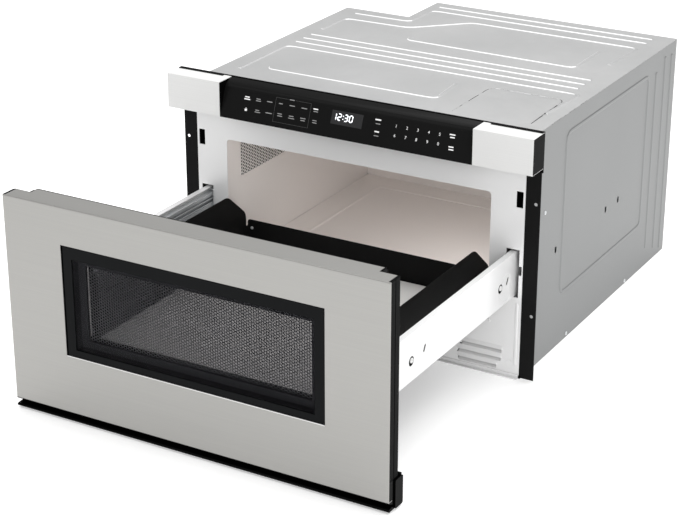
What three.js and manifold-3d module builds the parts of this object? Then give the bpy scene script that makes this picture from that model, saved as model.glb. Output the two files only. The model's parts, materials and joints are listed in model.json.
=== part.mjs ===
// Built-in microwave drawer, drawn out as far as it goes.
// Millimetres. +X to the right, +Y to the back, +Z up. The origin is under the middle of the
// case's front plate, on the plane that the mounting flanges press against.
import * as THREE from 'three';
import { mergeVertices } from 'three/addons/utils/BufferGeometryUtils.js';
import Module from 'manifold-3d';

const wasm = await Module();
wasm.setup();

// ---- driving dimensions -----------------------------------------------------------------

// overall
const trimWidth = 606.4; // over the two corner caps
const caseWidth = 559.4;
const caseHeight = 371.8;
const caseDepth = 571.3;
const notchWidth = 119.4; // rear left corner that is left out
const notchDepth = 106.1;

// sheets and clearances
const caseSheet = 1.0;
const frontSheet = 1.2;
const cavitySheet = 1.2;
const seatGap = 0.3; // between pieces that seat on each other
const beadWidth = 8;
const beadRise = 1.1;
const beadRadius = 14;

// case front
const cavityOpeningWidth = 447.8;
const cavityHeadroom = 89.5; // from the cavity's ceiling to the case top
const cavityTop = caseHeight - cavityHeadroom;
const cavityFloor = 84;
const cavityDepth = 440;
const cavityCornerRadius = 6;
const railSlotInner = 250.6; // distance of the slot's inner edge from the centre
const railSlotWidth = 20.7;
const railSlotBottom = 127.7;
const railSlotTop = 202;
const latchPivotDrop = 3.3; // under the cavity's ceiling
const latchPivotHeight = cavityTop - latchPivotDrop;
const latchSlotInner = 263.4;
const latchSlotWidth = 10.6;
const latchSlotBelow = 12.6; // from the hook's pivot height to the slot's lower end
const latchSlotHeight = 24.6;
const latchSlotBottom = latchPivotHeight - latchSlotBelow;
const latchSlotTop = latchSlotBottom + latchSlotHeight;
const catchNotchWidth = 4.3; // beside each rail slot
const catchNotchBottom = 163;
const catchNotchTop = 177;
const louvreLength = 68;
const louvreHeight = 5.2;
const louvreReach = 2.4;
const louvreWall = 1;
const louvreRows = [
  { centre: 215.5, height: 44.1 },
  { centre: 211.8, height: 30.8 },
  { centre: 208.8, height: 18.5 },
];
const baseLipHeight = 6;

// mounting flanges
const flangeReach = 23; // from the case side to the flange's outer edge
const flangeBottom = 1.5;
const flangeReturn = 16;
const flangeHoleRadius = 2.6;
const flangeHoleInset = 7.2;
const flangeHoleHeights = [103, 276];

// control panel
const panelProud = 38.75; // front face of the corner caps ahead of the flange plane
const panelDrop = 39.8; // from the case top down to the panel's lower edge
const panelHeight = 53.4;
const panelBottom = caseHeight - panelDrop;
const panelTop = panelBottom + panelHeight;
const panelWidth = 420.6;
const panelCreaseSetback = 18;
const panelCreaseHeight = 48.4;
const panelTopSetback = 35;
const glassThickness = 3;
const capSheet = 1.2;
const housingWall = 2.6;
const housingSkirt = 6.5; // housing below the panel
const housingFoot = panelBottom - housingSkirt;
const housingCrest = panelTop + 1;
const panelCreaseRounding = 8;
const displayWidth = 51.5;
const displayHeight = 20.5;
const displayCentreX = 3;
const displayCentreUp = 30.8; // along the slope from the panel's lower edge
const displayPocket = 1.4;

// drawer travel and door
const drawerTravel = 393;
const doorClosedProud = 42.75;
const doorWidth = 598;
const doorBottom = 16.5;
const doorPanelGap = 9.2;
const doorTop = panelBottom - doorPanelGap;
const doorEdgeDepth = 24;
const doorCoreDepth = 39;
const doorCoreWidth = 548;
const chokeCover = 3;
const doorCoreBottom = 62;
const doorSkin = 1.0;
const topFlangeInset = 29.5; // from the door's end to the step in the folded top edge
const endCapWidth = 4.2; // of the black frame that shows beside the folded top edge
const skinFoot = 9; // fold along the skin's lower edge
const windowWidth = 410.6;
const windowBottom = 102.6;
const windowTop = 267.5;
const windowGlass = 4;
const screenWidth = 355.6;
const screenBottom = 124.5;
const screenTop = 238;
const screenSetback = 19.5;
const screenThickness = 0.8;
const screenLap = 6; // of the screen over the frame behind it
const innerWindowLap = 4;
const frameWall = 3;
const frameRib = 2;
const recessSide = 12.2; // from the screen's edge to the wall of the recess in front of it
const recessBelow = 10.5;
const recessAbove = 11;
const pullBottom = 2.6;
const pullTop = 46;
const pullDepth = 34;
const pullGrooveDepth = 16; // open to the front, between the door's edge and the lip
const pullGrooveHeight = 8;
const pullGrooveFall = 1.4; // of the groove's floor towards the front
const pullLipEdge = 1.2;
const pullLipTip = 1.6;
const pullShoulder = 0.9; // of the grip that shows under the skin
const pullWall = 3;
const pullRecessRounding = 8;
const pullRecessDraft = 1.5;
const pullRearRounding = 4;
const pullRearFoot = 8; // rear wall's lower edge above the grip's underside
const pullEndInset = 2;
const pullEndRounding = 2.5;
const pullLip = 18.6; // front edge of the finger recess behind the groove
const pullRecessTop = 34;
const pullEndReach = 2.2;

// drawer arms and telescopic slides
const armOutside = 265; // outer face of the arm from the centre
const armSheet = 1.0;
const armFlange = 9.2;
const armBottom = 129;
const armTop = 198.4;
const armRear = 40; // behind the flange plane when drawn out
const slideHeight = 45;
const slideCentre = 172;
const slideWeb = 1.2;
const slideWidth = 11.9;
const slideLength = 424;
const slideMidHeight = 35;
const slideInnerHeight = 25;
const slideMidLength = 380;
const slideCage = 180;
const bracketFoot = 18;

// rack and pinion
const gearModule = 2;
const pinionTeeth = 14;
const rackTeeth = 66;
const gearWidth = 8.4;
const gearBacklash = 0.24;
const rackAddendum = 1.6; // short of a full module, so the small pinion needs no undercut
const gearDedendum = 2.5;
const rackPitchLine = 133.8;
const rackBack = 145.6;
const pinionSetback = 24; // pinion axis behind the flange plane
const motorShaft = 3.7;

// drawer tray
const traySideReach = 211; // outer face of the side from the centre
const traySheet = 1.2;
const trayFloor = 93;
const traySideTop = 197;
const trayRearTop = 154.7;
const trayChamferStart = -22;
const traySideRear = 27;
const trayBackTop = 143.5;
const trayBackReach = 3.4; // the back stands behind the rear edges of the sides
const trayBackFlange = 8; // folded forward along the inside of each side
const trayBackRounding = 5;
const trayGlass = 4;

const trayScrewHeight = 130;

// latch
const latchHookInner = 265.8;
const latchHookWidth = 5;
const latchHookReach = 25;
const latchPinRadius = 1.8;
const latchPivotSetback = -404;

// inside the case
const stirrerRadius = 88;
const stirrerSetback = 220;
const stirrerShaft = 2.5;
const guideHalf = 45;
const guideRear = 545;
const magnetronSetback = 496;
const antennaRadius = 8;
const motorRadius = 11;
const magnetronSize = [80, 68, 72];
const filterBoxSize = [60, 52, 35];
const transformerCentre = [190, 506];
const transformerCore = [80, 68, 69];
const transformerFoot = 8;
const windingReach = 16; // past each end of the core
const capacitorCentre = [68, 479];
const capacitorSize = [56, 34, 95];
const capacitorBand = 2; // strap outside the can
const powerBoardCentre = [161, 135];
const powerBoardSize = [106, 150];
const controlBoardCentre = 15;
const controlBoardLength = 270;
const boardThickness = 1.6;
const boardStandOff = 8;
const relayHeight = 17;
const fanRadius = 54;
const fanCentreX = 200;
const fanCentreZ = 215;
const lampRadius = 10;
const lampSetback = 330;
const lampDrop = 32; // under the cavity's ceiling
const lampHeight = cavityTop - lampDrop;
const cordGlandX = -110;
const cordGlandZ = 60;
const cordGlandRadius = 8;

// embossed lines of the case top and side, as corners of each line
const topBeads = [
  [[-142, 546], [247, 546]],
  [[-248, 439], [-144, 441], [-144, 520.5], [247, 520.5]],
  [[-248, 326], [-248, 404], [-130, 407], [-50, 486.5], [246, 486.5], [240, 378]],
  [[-98, 362], [-98, 343.5], [199, 338.5], [199, 437]],
  [[-248, 293], [247, 293]],
  [[-248, 269], [247, 269]],
  [[-248, 245], [247, 245]],
  [[-248, 75], [-250, 218.5], [262, 218.5], [253, 112]],
  [[-210, 106], [-206, 97], [84, 96], [77, 173]],
];
const accessPanel = [[130, 57], [130, 184], [251, 184], [253, 58]];
const sideBeadFront = 132;
const sideBeadRear = 452;
const sideBeadBottom = 85;
const sideBeadTop = caseHeight - 32;
const rearBeads = [
  { setback: 485, bottom: 33, topGap: 36 },
  { setback: 522, bottom: 20, topGap: 19 },
  { setback: 551, bottom: 10, topGap: 22 },
];
const sideSlots = [[109, 165], [299, 164], [349, 164]]; // oval slots, as [y, z]
const sideSlotSize = [6.4, 10.4];

// ---- derived places ---------------------------------------------------------------------

const caseSide = caseWidth / 2;
const trimSide = trimWidth / 2;
const notchX = -caseSide + notchWidth;
const notchY = caseDepth - notchDepth;
const caseInner = caseSide - caseSheet;
const sheetTop = caseHeight - beadRise;
const plateSide = caseInner - frontSheet - seatGap;
const cavitySide = cavityOpeningWidth / 2;
const doorFront = -(doorClosedProud + drawerTravel);
const doorBack = doorFront + doorCoreDepth;
const doorEdgeBack = doorFront + doorEdgeDepth;
const doorSide = doorWidth / 2;
const coreSide = doorCoreWidth / 2;
const windowSide = windowWidth / 2;
const screenSide = screenWidth / 2;
const pitchRadius = gearModule * pinionTeeth / 2;
const pinionHeight = rackPitchLine - pitchRadius;
const slideFixedFace = armOutside - armSheet - slideWidth;
const panelSide = panelWidth / 2;

// ---- modelling helpers ------------------------------------------------------------------

const drawerUnit = new THREE.Group();

function finish(color, roughness, metalness) {
  return new THREE.MeshStandardMaterial({ color, roughness, metalness });
}

const galvanised = finish('#c9cac9', 0.42, 0.85);
const whiteEnamel = finish('#e6e6e5', 0.35, 0.1);
const cavityEnamel = finish('#cbc5bf', 0.45, 0.1);
const blackEnamel = finish('#191919', 0.5, 0.1);
const blackPlastic = finish('#161616', 0.45, 0);
const blackGlass = finish('#242424', 0.08, 0);
const stainless = finish('#c8c7c5', 0.3, 0.95);
const steel = finish('#b9bbbd', 0.35, 0.9);
const whitePlastic = finish('#e8e6e0', 0.5, 0);
const boardGreen = finish('#2f5a3c', 0.6, 0);
const castZinc = finish('#8d9092', 0.5, 0.8);

function solidOf(geometry) {
  const bare = geometry.index ? geometry.toNonIndexed() : geometry.clone();
  bare.deleteAttribute('normal');
  bare.deleteAttribute('uv');
  const merged = mergeVertices(bare, 1e-4);
  return new wasm.Manifold(new wasm.Mesh({
    numProp: 3,
    vertProperties: new Float32Array(merged.attributes.position.array),
    triVerts: new Uint32Array(merged.index.array),
  }));
}

function geometryOf(solid) {
  const mesh = solid.getMesh();
  const geometry = new THREE.BufferGeometry();
  geometry.setAttribute('position', new THREE.BufferAttribute(mesh.vertProperties, 3));
  geometry.setIndex(new THREE.BufferAttribute(mesh.triVerts, 1));
  return geometry;
}

function addPart(name, solid, material) {
  const mesh = new THREE.Mesh(geometryOf(solid), material);
  mesh.name = name;
  drawerUnit.add(mesh);
}

// a solid and its mirror image, as the left and right pieces of a pair
function addPair(name, rightSolid, material) {
  addPart(`${name}_right`, rightSolid, material);
  addPart(`${name}_left`, mirrored(rightSolid), material);
}

function mirrored(solid) {
  return solid.mirror([1, 0, 0]);
}

function join(first, ...others) {
  return others.reduce((total, other) => total.add(other), first);
}

function cut(first, ...others) {
  return others.reduce((total, other) => total.subtract(other), first);
}

function block(x, y, z) {
  const geometry = new THREE.BoxGeometry(x[1] - x[0], y[1] - y[0], z[1] - z[0]);
  geometry.translate((x[0] + x[1]) / 2, (y[0] + y[1]) / 2, (z[0] + z[1]) / 2);
  return solidOf(geometry);
}

function outline(points) {
  return new THREE.Shape(points.map(([a, b]) => new THREE.Vector2(a, b)));
}

function rectangle(low, high) {
  return outline([[low[0], low[1]], [high[0], low[1]], [high[0], high[1]], [low[0], high[1]]]);
}

function roundedRectangle(low, high, radius) {
  const shape = new THREE.Shape();
  shape.moveTo(low[0] + radius, low[1]);
  shape.lineTo(high[0] - radius, low[1]);
  shape.absarc(high[0] - radius, low[1] + radius, radius, -Math.PI / 2, 0);
  shape.lineTo(high[0], high[1] - radius);
  shape.absarc(high[0] - radius, high[1] - radius, radius, 0, Math.PI / 2);
  shape.lineTo(low[0] + radius, high[1]);
  shape.absarc(low[0] + radius, high[1] - radius, radius, Math.PI / 2, Math.PI);
  shape.lineTo(low[0], low[1] + radius);
  shape.absarc(low[0] + radius, low[1] + radius, radius, Math.PI, Math.PI * 1.5);
  return shape;
}

// extrusions of an outline drawn in the plane that the name gives
function extrudeXY(shape, low, high, steps = 4) {
  const geometry = new THREE.ExtrudeGeometry(shape, {
    depth: high - low, bevelEnabled: false, curveSegments: steps,
  });
  geometry.translate(0, 0, low);
  return solidOf(geometry);
}

function extrudeXZ(shape, low, high, steps = 4) {
  const geometry = new THREE.ExtrudeGeometry(shape, {
    depth: high - low, bevelEnabled: false, curveSegments: steps,
  });
  geometry.rotateX(Math.PI / 2);
  geometry.translate(0, high, 0);
  return solidOf(geometry);
}

function extrudeYZ(shape, low, high, steps = 4) {
  const geometry = new THREE.ExtrudeGeometry(shape, {
    depth: high - low, bevelEnabled: false, curveSegments: steps,
  });
  geometry.rotateX(Math.PI / 2);
  geometry.rotateZ(Math.PI / 2);
  geometry.translate(low, 0, 0);
  return solidOf(geometry);
}

function rodX(radius, low, high, y, z, sides = 16) {
  const geometry = new THREE.CylinderGeometry(radius, radius, high - low, sides);
  geometry.rotateZ(Math.PI / 2);
  geometry.translate((low + high) / 2, y, z);
  return solidOf(geometry);
}

function rodY(radius, low, high, x, z, sides = 16) {
  const geometry = new THREE.CylinderGeometry(radius, radius, high - low, sides);
  geometry.translate(x, (low + high) / 2, z);
  return solidOf(geometry);
}

function rodZ(radius, low, high, x, y, sides = 16) {
  const geometry = new THREE.CylinderGeometry(radius, radius, high - low, sides);
  geometry.rotateX(Math.PI / 2);
  geometry.translate(x, y, (low + high) / 2);
  return solidOf(geometry);
}

// revolve a closed profile of [radius, height] about the Z axis
function revolve(profile, sides = 24) {
  const points = profile.map(([radius, height]) => new THREE.Vector2(radius, height));
  const geometry = new THREE.LatheGeometry(points, sides);
  geometry.rotateX(Math.PI / 2);
  return solidOf(geometry);
}

// the arc that takes the place of one corner
function cornerArc(before, corner, after, radius, arcSteps) {
  const middle = new THREE.Vector2(...corner);
  const back = new THREE.Vector2(...before).sub(middle);
  const ahead = new THREE.Vector2(...after).sub(middle);
  const reach = Math.min(radius, back.length() / 2.2, ahead.length() / 2.2);
  const start = middle.clone().addScaledVector(back.normalize(), reach);
  const end = middle.clone().addScaledVector(ahead.normalize(), reach);
  const curve = new THREE.QuadraticBezierCurve(start, middle, end);
  return curve.getPoints(arcSteps).map((point) => [point.x, point.y]);
}

// corners joined by straight runs and arcs
function roundedPath(corners, radius, arcSteps = 4) {
  const last = corners.length - 1;
  const arcs = corners.slice(1, last).flatMap((corner, i) => (
    cornerArc(corners[i], corner, corners[i + 2], radius, arcSteps)));
  return [corners[0], ...arcs, corners[last]];
}

// the same for a closed outline, whose every corner is rounded
function roundedOutline(corners, radius, arcSteps = 2) {
  const count = corners.length;
  return outline(corners.flatMap((corner, i) => cornerArc(
    corners[(i + count - 1) % count], corner, corners[(i + 1) % count], radius, arcSteps)));
}

// the two sides of a band of the given width along a path
function bandOutline(path, width) {
  const left = [];
  const right = [];
  path.forEach((point, i) => {
    const before = path[Math.max(i - 1, 0)];
    const after = path[Math.min(i + 1, path.length - 1)];
    const run = new THREE.Vector2(after[0] - before[0], after[1] - before[1]).normalize();
    left.push([point[0] - run.y * width / 2, point[1] + run.x * width / 2]);
    right.unshift([point[0] + run.y * width / 2, point[1] - run.x * width / 2]);
  });
  return [...left, ...right];
}

// a closed solid between a lower and an upper outline with the same number of points
function loft(lower, upper, low, high) {
  const count = lower.length;
  const positions = [
    ...lower.flatMap(([x, y]) => [x, y, low]),
    ...upper.flatMap(([x, y]) => [x, y, high]),
  ];
  const contour = lower.map(([x, y]) => new THREE.Vector2(x, y));
  const turnsLeft = !THREE.ShapeUtils.isClockWise(contour);
  const index = [];
  const addFace = (a, b, c) => index.push(...(turnsLeft ? [a, b, c] : [a, c, b]));
  for (const [a, b, c] of THREE.ShapeUtils.triangulateShape(contour, [])) {
    const facesUp = new THREE.Vector2().subVectors(contour[b], contour[a])
      .cross(new THREE.Vector2().subVectors(contour[c], contour[a])) > 0;
    const order = facesUp ? [a, b, c] : [a, c, b];
    index.push(order[0], order[2], order[1]);
    index.push(order[0] + count, order[1] + count, order[2] + count);
  }
  for (let i = 0; i < count; i += 1) {
    const next = (i + 1) % count;
    addFace(i, next, next + count);
    addFace(i, next + count, i + count);
  }
  const geometry = new THREE.BufferGeometry();
  geometry.setAttribute('position', new THREE.BufferAttribute(new Float32Array(positions), 3));
  geometry.setIndex(index);
  return solidOf(geometry);
}

// pressed line that stands on the plane z = 0, with its foot sunk a little into the sheet
function bead(corners, sink = 0.4) {
  const path = roundedPath(corners, beadRadius, 3);
  return loft(bandOutline(path, beadWidth), bandOutline(path, beadWidth * 0.4), -sink, beadRise);
}

function beadOnTop(corners) {
  return bead(corners).translate([0, 0, sheetTop]);
}

// corners are given as [y, z] on the outer face of the right side
function beadOnSide(corners) {
  return bead(corners).rotate([90, 0, 90]).translate([caseSide, 0, 0]);
}

// ---- case sheets ------------------------------------------------------------------------

function makeTopPanel() {
  const edge = outline([
    [-caseSide, 0], [caseSide, 0], [caseSide, caseDepth],
    [notchX, caseDepth], [notchX, notchY], [-caseSide, notchY],
  ]);
  const sheet = extrudeXY(edge, sheetTop - caseSheet, sheetTop);
  const seam = bandOutline(roundedPath(accessPanel, beadRadius), 1.4);
  const seamGroove = extrudeXY(outline(seam), sheetTop - 0.5, sheetTop + 1);
  return cut(join(sheet, ...topBeads.map(beadOnTop)), seamGroove);
}

function sideSheet(rear) {
  const low = caseSheet;
  const high = sheetTop - caseSheet;
  return extrudeYZ(rectangle([0, low], [rear - caseSheet, high]), caseInner, caseSide);
}

function sideBeads(rearEnd) {
  const front = sideBeadFront;
  const rear = Math.min(sideBeadRear, rearEnd - 40);
  const middle = (front + rear) / 2;
  const half = [
    [[middle, sideBeadTop], [front, sideBeadTop], [front, sideBeadBottom], [middle, sideBeadBottom]],
    [[middle - beadWidth, sideBeadTop], [rear, sideBeadTop], [rear, sideBeadBottom],
      [middle - beadWidth, sideBeadBottom]],
  ];
  const uprights = rearBeads
    .filter((line) => line.setback < rearEnd - beadWidth)
    .map((line) => [[line.setback, line.bottom], [line.setback, caseHeight - line.topGap]]);
  return [...half, ...uprights].map(beadOnSide);
}

function sideSlot([y, z]) {
  const half = [sideSlotSize[0] / 2, sideSlotSize[1] / 2];
  const oval = roundedRectangle([y - half[0], z - half[1]], [y + half[0], z + half[1]],
    half[0] - 0.01);
  return extrudeYZ(oval, caseInner - 1, caseSide + 2, 3);
}

function makeSidePanels() {
  const panel = (rear) => cut(join(sideSheet(rear), ...sideBeads(rear)), ...sideSlots.map(sideSlot));
  addPart('side_panel_right', panel(caseDepth), galvanised);
  addPart('side_panel_left', mirrored(panel(notchY)), galvanised);
}

// vent of short slots in rows, cut through a wall that faces back
function ventSlots(low, high, columns, rows, depth) {
  const stepX = (high[0] - low[0]) / columns;
  const stepZ = (high[1] - low[1]) / rows;
  const slots = [];
  for (let column = 0; column < columns; column += 1) {
    for (let row = 0; row < rows; row += 1) {
      const x = low[0] + stepX * column;
      const z = low[1] + stepZ * row;
      slots.push(block([x, x + stepX * 0.78], depth, [z, z + stepZ * 0.5]));
    }
  }
  return slots;
}

function makeRearPanels() {
  const low = caseSheet;
  const high = sheetTop - caseSheet;
  const depth = [caseDepth - caseSheet - 1, caseDepth + 1];
  const panel = block([notchX, caseSide], [caseDepth - caseSheet, caseDepth], [low, high]);
  const fanVent = ventSlots([fanCentreX - 56, fanCentreZ - 56], [fanCentreX + 60, fanCentreZ + 60],
    3, 6, depth);
  const outletVent = ventSlots([-130, caseHeight - 152], [-10, caseHeight - 32], 3, 6, depth);
  const cordHole = rodY(cordGlandRadius + seatGap, depth[0], depth[1], cordGlandX, cordGlandZ, 16);
  addPart('rear_panel', cut(panel, ...fanVent, ...outletVent, cordHole), galvanised);
  const corner = outline([
    [-caseSide, notchY - caseSheet], [notchX + caseSheet, notchY - caseSheet],
    [notchX + caseSheet, caseDepth - caseSheet], [notchX, caseDepth - caseSheet],
    [notchX, notchY], [-caseSide, notchY],
  ]);
  addPart('corner_panel', extrudeXY(corner, low, high), galvanised);
}

// bushing that the mains lead passes through
function makeCordGland() {
  const body = rodY(cordGlandRadius, caseDepth - 7, caseDepth + 1.5, cordGlandX, cordGlandZ, 16);
  const collar = rodY(cordGlandRadius + 3, caseDepth - 7, caseDepth - caseSheet - seatGap,
    cordGlandX, cordGlandZ, 16);
  const bore = rodY(4, caseDepth - 8, caseDepth + 3, cordGlandX, cordGlandZ, 12);
  addPart('cord_gland', cut(join(body, collar), bore), blackPlastic);
}

function makeBasePan() {
  const lipFront = -frontSheet - caseSheet;
  const edge = outline([
    [-caseSide, lipFront], [caseSide, lipFront], [caseSide, caseDepth],
    [notchX, caseDepth], [notchX, notchY], [-caseSide, notchY],
  ]);
  const lip = block([-plateSide, plateSide], [lipFront, -frontSheet], [0, baseLipHeight]);
  return join(extrudeXY(edge, 0, caseSheet), lip);
}

// ---- white front plate ------------------------------------------------------------------

function slotOutline(centre, length, height) {
  const low = [centre[0] - length / 2, centre[1] - height / 2];
  const high = [centre[0] + length / 2, centre[1] + height / 2];
  return roundedRectangle(low, high, height / 2 - 0.01);
}

// hood pressed forward over a slot that is open along its lower edge
function louvre(row) {
  const centre = [row.centre, row.height];
  const outer = slotOutline([centre[0], centre[1] + louvreHeight / 2], louvreLength, louvreHeight * 2);
  const front = -frontSheet - louvreReach;
  const hood = extrudeXZ(outer, front, -frontSheet + 0.2, 3);
  const trim = block([centre[0] - louvreLength, centre[0] + louvreLength],
    [front - 1, 1], [centre[1] - louvreHeight * 2, centre[1] - louvreHeight / 2 + 0.2]);
  return cut(hood, trim);
}

function louvreHollow(row) {
  const centre = [row.centre, row.height + louvreHeight / 2 - louvreWall];
  const inner = slotOutline(centre, louvreLength - 2 * louvreWall, louvreHeight * 2 - 2 * louvreWall);
  return extrudeXZ(inner, -frontSheet - louvreReach + louvreWall, 1, 3);
}

function makeFrontPlate() {
  const plate = block([-plateSide, plateSide], [-frontSheet, 0], [caseSheet, sheetTop - caseSheet]);
  const depth = [-frontSheet - 1, 1];
  const cavity = extrudeXZ(roundedRectangle([-cavitySide, cavityFloor], [cavitySide, cavityTop],
    cavityCornerRadius), depth[0], depth[1], 3);
  const railSlot = block([railSlotInner, railSlotInner + railSlotWidth], depth,
    [railSlotBottom, railSlotTop]);
  const latchSlot = block([latchSlotInner, latchSlotInner + latchSlotWidth], depth,
    [latchSlotBottom, latchSlotTop]);
  const slotOuter = railSlotInner + railSlotWidth;
  const catchNotch = block([slotOuter - 0.1, slotOuter + catchNotchWidth], depth,
    [catchNotchBottom, catchNotchTop]);
  const louvres = louvreRows.map(louvre);
  const hollows = louvreRows.map(louvreHollow);
  const wireHole = block([-60, 60], depth, [panelBottom + 8, panelBottom + 26]);
  return cut(join(plate, ...louvres), ...hollows, cavity, wireHole,
    railSlot, mirrored(railSlot), latchSlot, mirrored(latchSlot), catchNotch, mirrored(catchNotch));
}

function makeFlanges() {
  const inner = plateSide + seatGap;
  const outer = caseSide + flangeReach - 2.2;
  const leaf = block([inner, outer], [-frontSheet, 0], [flangeBottom, housingFoot - seatGap]);
  const fold = block([inner, inner + frontSheet], [-frontSheet, flangeReturn],
    [flangeBottom, housingFoot - seatGap]);
  const holes = flangeHoleHeights.map((height) => (
    rodY(flangeHoleRadius, -frontSheet - 1, 1, outer - flangeHoleInset, height, 12)));
  const sheetGroove = block([inner + frontSheet, caseSide + seatGap], [-seatGap, 1], [0, housingFoot]);
  addPair('mounting_flange', cut(join(leaf, fold), sheetGroove, ...holes), blackEnamel);
}

// ---- cooking cavity ---------------------------------------------------------------------

function makeCavity() {
  const wall = cavitySheet;
  const shell = roundedRectangle([-cavitySide - wall, cavityFloor - 20],
    [cavitySide + wall, cavityTop + wall], cavityCornerRadius + wall);
  const hollow = roundedRectangle([-cavitySide, cavityFloor - 30], [cavitySide, cavityTop],
    cavityCornerRadius);
  const wrap = extrudeXZ(shell, seatGap, cavityDepth, 4);
  const inside = extrudeXZ(hollow, -1, cavityDepth + 1, 4);
  const below = block([-cavitySide - 5, cavitySide + 5], [-1, cavityDepth + 1],
    [0, cavityFloor - wall]);
  const stirrerHole = rodZ(stirrerRadius, cavityTop - 2, cavityTop + 5, 0, stirrerSetback, 28);
  const lampHole = rodX(lampRadius + seatGap, cavitySide - 1, cavitySide + 5, lampSetback, lampHeight, 16);
  addPart('cavity_wrap', cut(wrap, inside, below, stirrerHole, lampHole), cavityEnamel);

  const floorCorners = [[0, 40], [-176, 40], [-176, cavityDepth - 44], [0, cavityDepth - 44]];
  const floorBead = (side) => bead(floorCorners.map(([x, y]) => [x * side, y]))
    .translate([0, 0, cavityFloor]);
  const floor = block([-cavitySide + seatGap, cavitySide - seatGap], [seatGap, cavityDepth],
    [cavityFloor - wall, cavityFloor]);
  addPart('cavity_floor', join(floor, floorBead(1), floorBead(-1)), cavityEnamel);

  const back = extrudeXZ(roundedRectangle([-cavitySide - wall, cavityFloor - wall],
    [cavitySide + wall, cavityTop + wall], cavityCornerRadius + wall),
  cavityDepth, cavityDepth + wall, 4);
  addPart('cavity_back', back, cavityEnamel);
}

// ---- control panel ----------------------------------------------------------------------

const panelFoot = [-panelProud, panelBottom];
const panelCrease = [panelFoot[0] + panelCreaseSetback, panelBottom + panelCreaseHeight];
const panelCrown = [panelFoot[0] + panelTopSetback, panelTop];

// front line of the sloping glass, moved back by a distance, as [y, z]
function panelLine(setback) {
  const slope = roundedPath([panelFoot, panelCrease, panelCrown], panelCreaseRounding, 3);
  const moved = bandOutline(slope, setback * 2).slice(slope.length).reverse();
  return setback === 0 ? slope : moved;
}

function panelSolid(setback, low, high) {
  const line = panelLine(setback);
  const back = 30;
  const foot = [line[0][0], panelBottom - 5];
  const crown = [line[line.length - 1][0], panelTop + 5];
  return extrudeYZ(outline([foot, ...line, crown, [back, panelTop + 5], [back, panelBottom - 5]]),
    low, high);
}

function makePanelGlass() {
  const side = panelSide - seatGap;
  const band = cut(panelSolid(0, -side, side), panelSolid(glassThickness, -side - 1, side + 1));
  const rear = -frontSheet - housingWall - seatGap;
  const limits = block([-side, side], [-60, rear], [panelBottom, panelTop]);
  return cut(band.intersect(limits), displayShape(seatGap));
}

// the clock window lies in a shallow pocket of the glass
function displayShape(margin) {
  const slope = new THREE.Vector2(panelCreaseSetback, panelCreaseHeight);
  const tilt = THREE.MathUtils.radToDeg(Math.atan2(slope.x, slope.y));
  const half = [displayWidth / 2 + margin, displayHeight / 2 + margin];
  const depth = margin > 0 ? [-1, displayPocket] : [0, displayPocket - seatGap];
  const lens = block([-half[0], half[0]], depth, [-half[1], half[1]]);
  const along = displayCentreUp / slope.length();
  return lens.rotate([-tilt, 0, 0]).translate([displayCentreX,
    panelFoot[0] + slope.x * along, panelFoot[1] + slope.y * along]);
}

function makePanelHousing() {
  const back = -frontSheet;
  const backPlate = block([-trimSide, trimSide], [back - housingWall, back],
    [housingFoot, housingCrest]);
  const middle = panelSolid(glassThickness + seatGap, -panelSide, panelSide)
    .intersect(block([-panelSide, panelSide], [-60, back], [panelBottom, panelTop]));
  const pocketTop = panelSolid(glassThickness + seatGap + housingWall, -panelSide + housingWall,
    panelSide - housingWall);
  const pocket = pocketTop.intersect(block([-trimSide, trimSide], [-60, back + 1],
    [panelBottom + housingWall, panelTop - housingWall - 6]));
  const end = block([panelSide, trimSide], [-panelProud + capSheet, back],
    [panelBottom + capSheet, panelTop - capSheet]);
  const endPocket = block([panelSide + housingWall, trimSide - housingWall],
    [-panelProud + capSheet + housingWall, back + 1],
    [panelBottom + capSheet + housingWall, sheetTop - 6]);
  return cut(join(backPlate, middle, end, mirrored(end)), pocket, endPocket, mirrored(endPocket));
}

// folded cap over the front, top and underside of a housing end
function makeCornerCaps() {
  const front = -panelProud;
  const rear = -frontSheet - housingWall;
  const section = outline([
    [front, panelBottom], [rear, panelBottom], [rear, panelBottom + capSheet],
    [front + capSheet, panelBottom + capSheet], [front + capSheet, panelTop - capSheet],
    [rear, panelTop - capSheet], [rear, panelTop], [front, panelTop],
  ]);
  addPair('corner_cap', extrudeYZ(section, panelSide, trimSide), stainless);
}

function makeControlBoard() {
  const back = -frontSheet - 2.5;
  const face = back - boardThickness;
  const half = controlBoardLength / 2;
  const low = panelBottom + 5;
  const board = block([controlBoardCentre - half, controlBoardCentre + half], [face, back],
    [low, panelTop - 24]);
  const relays = [24, 50, 76].map((inset) => {
    const x = controlBoardCentre - half + inset;
    return block([x, x + 18], [face - 9, face], [low + 3, low + 17]);
  });
  const standOffs = [-1, 1].map((turn) => rodY(2.6, back, -frontSheet - seatGap,
    controlBoardCentre + turn * (half - 8), low + 9, 8));
  const buzzer = rodY(6, face - 6, face, controlBoardCentre + half / 3, low + 11, 12);
  return join(board, ...relays, ...standOffs, buzzer);
}

// ---- door -------------------------------------------------------------------------------

function makeDoorSkin() {
  const skin = doorSkin;
  const face = block([-doorSide, doorSide], [doorFront, doorFront + skin], [doorBottom, doorTop]);
  const endSide = doorSide - endCapWidth;
  const middleSide = doorSide - topFlangeInset;
  const topEnds = block([-endSide, endSide], [doorFront, doorEdgeBack], [doorTop - skin, doorTop]);
  const topMiddle = block([-middleSide, middleSide], [doorFront, doorBack - 1],
    [doorTop - skin, doorTop]);
  const foot = block([-doorSide, doorSide], [doorFront, doorFront + skinFoot],
    [doorBottom, doorBottom + skin]);
  const opening = block([-windowSide, windowSide], [doorFront - 1, doorFront + skin + 1],
    [windowBottom, windowTop]);
  return cut(join(face, topEnds, topMiddle, foot), opening);
}

function windowBlock(side, bottom, top, depth) {
  return block([-side, side], depth, [bottom, top]);
}

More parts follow.
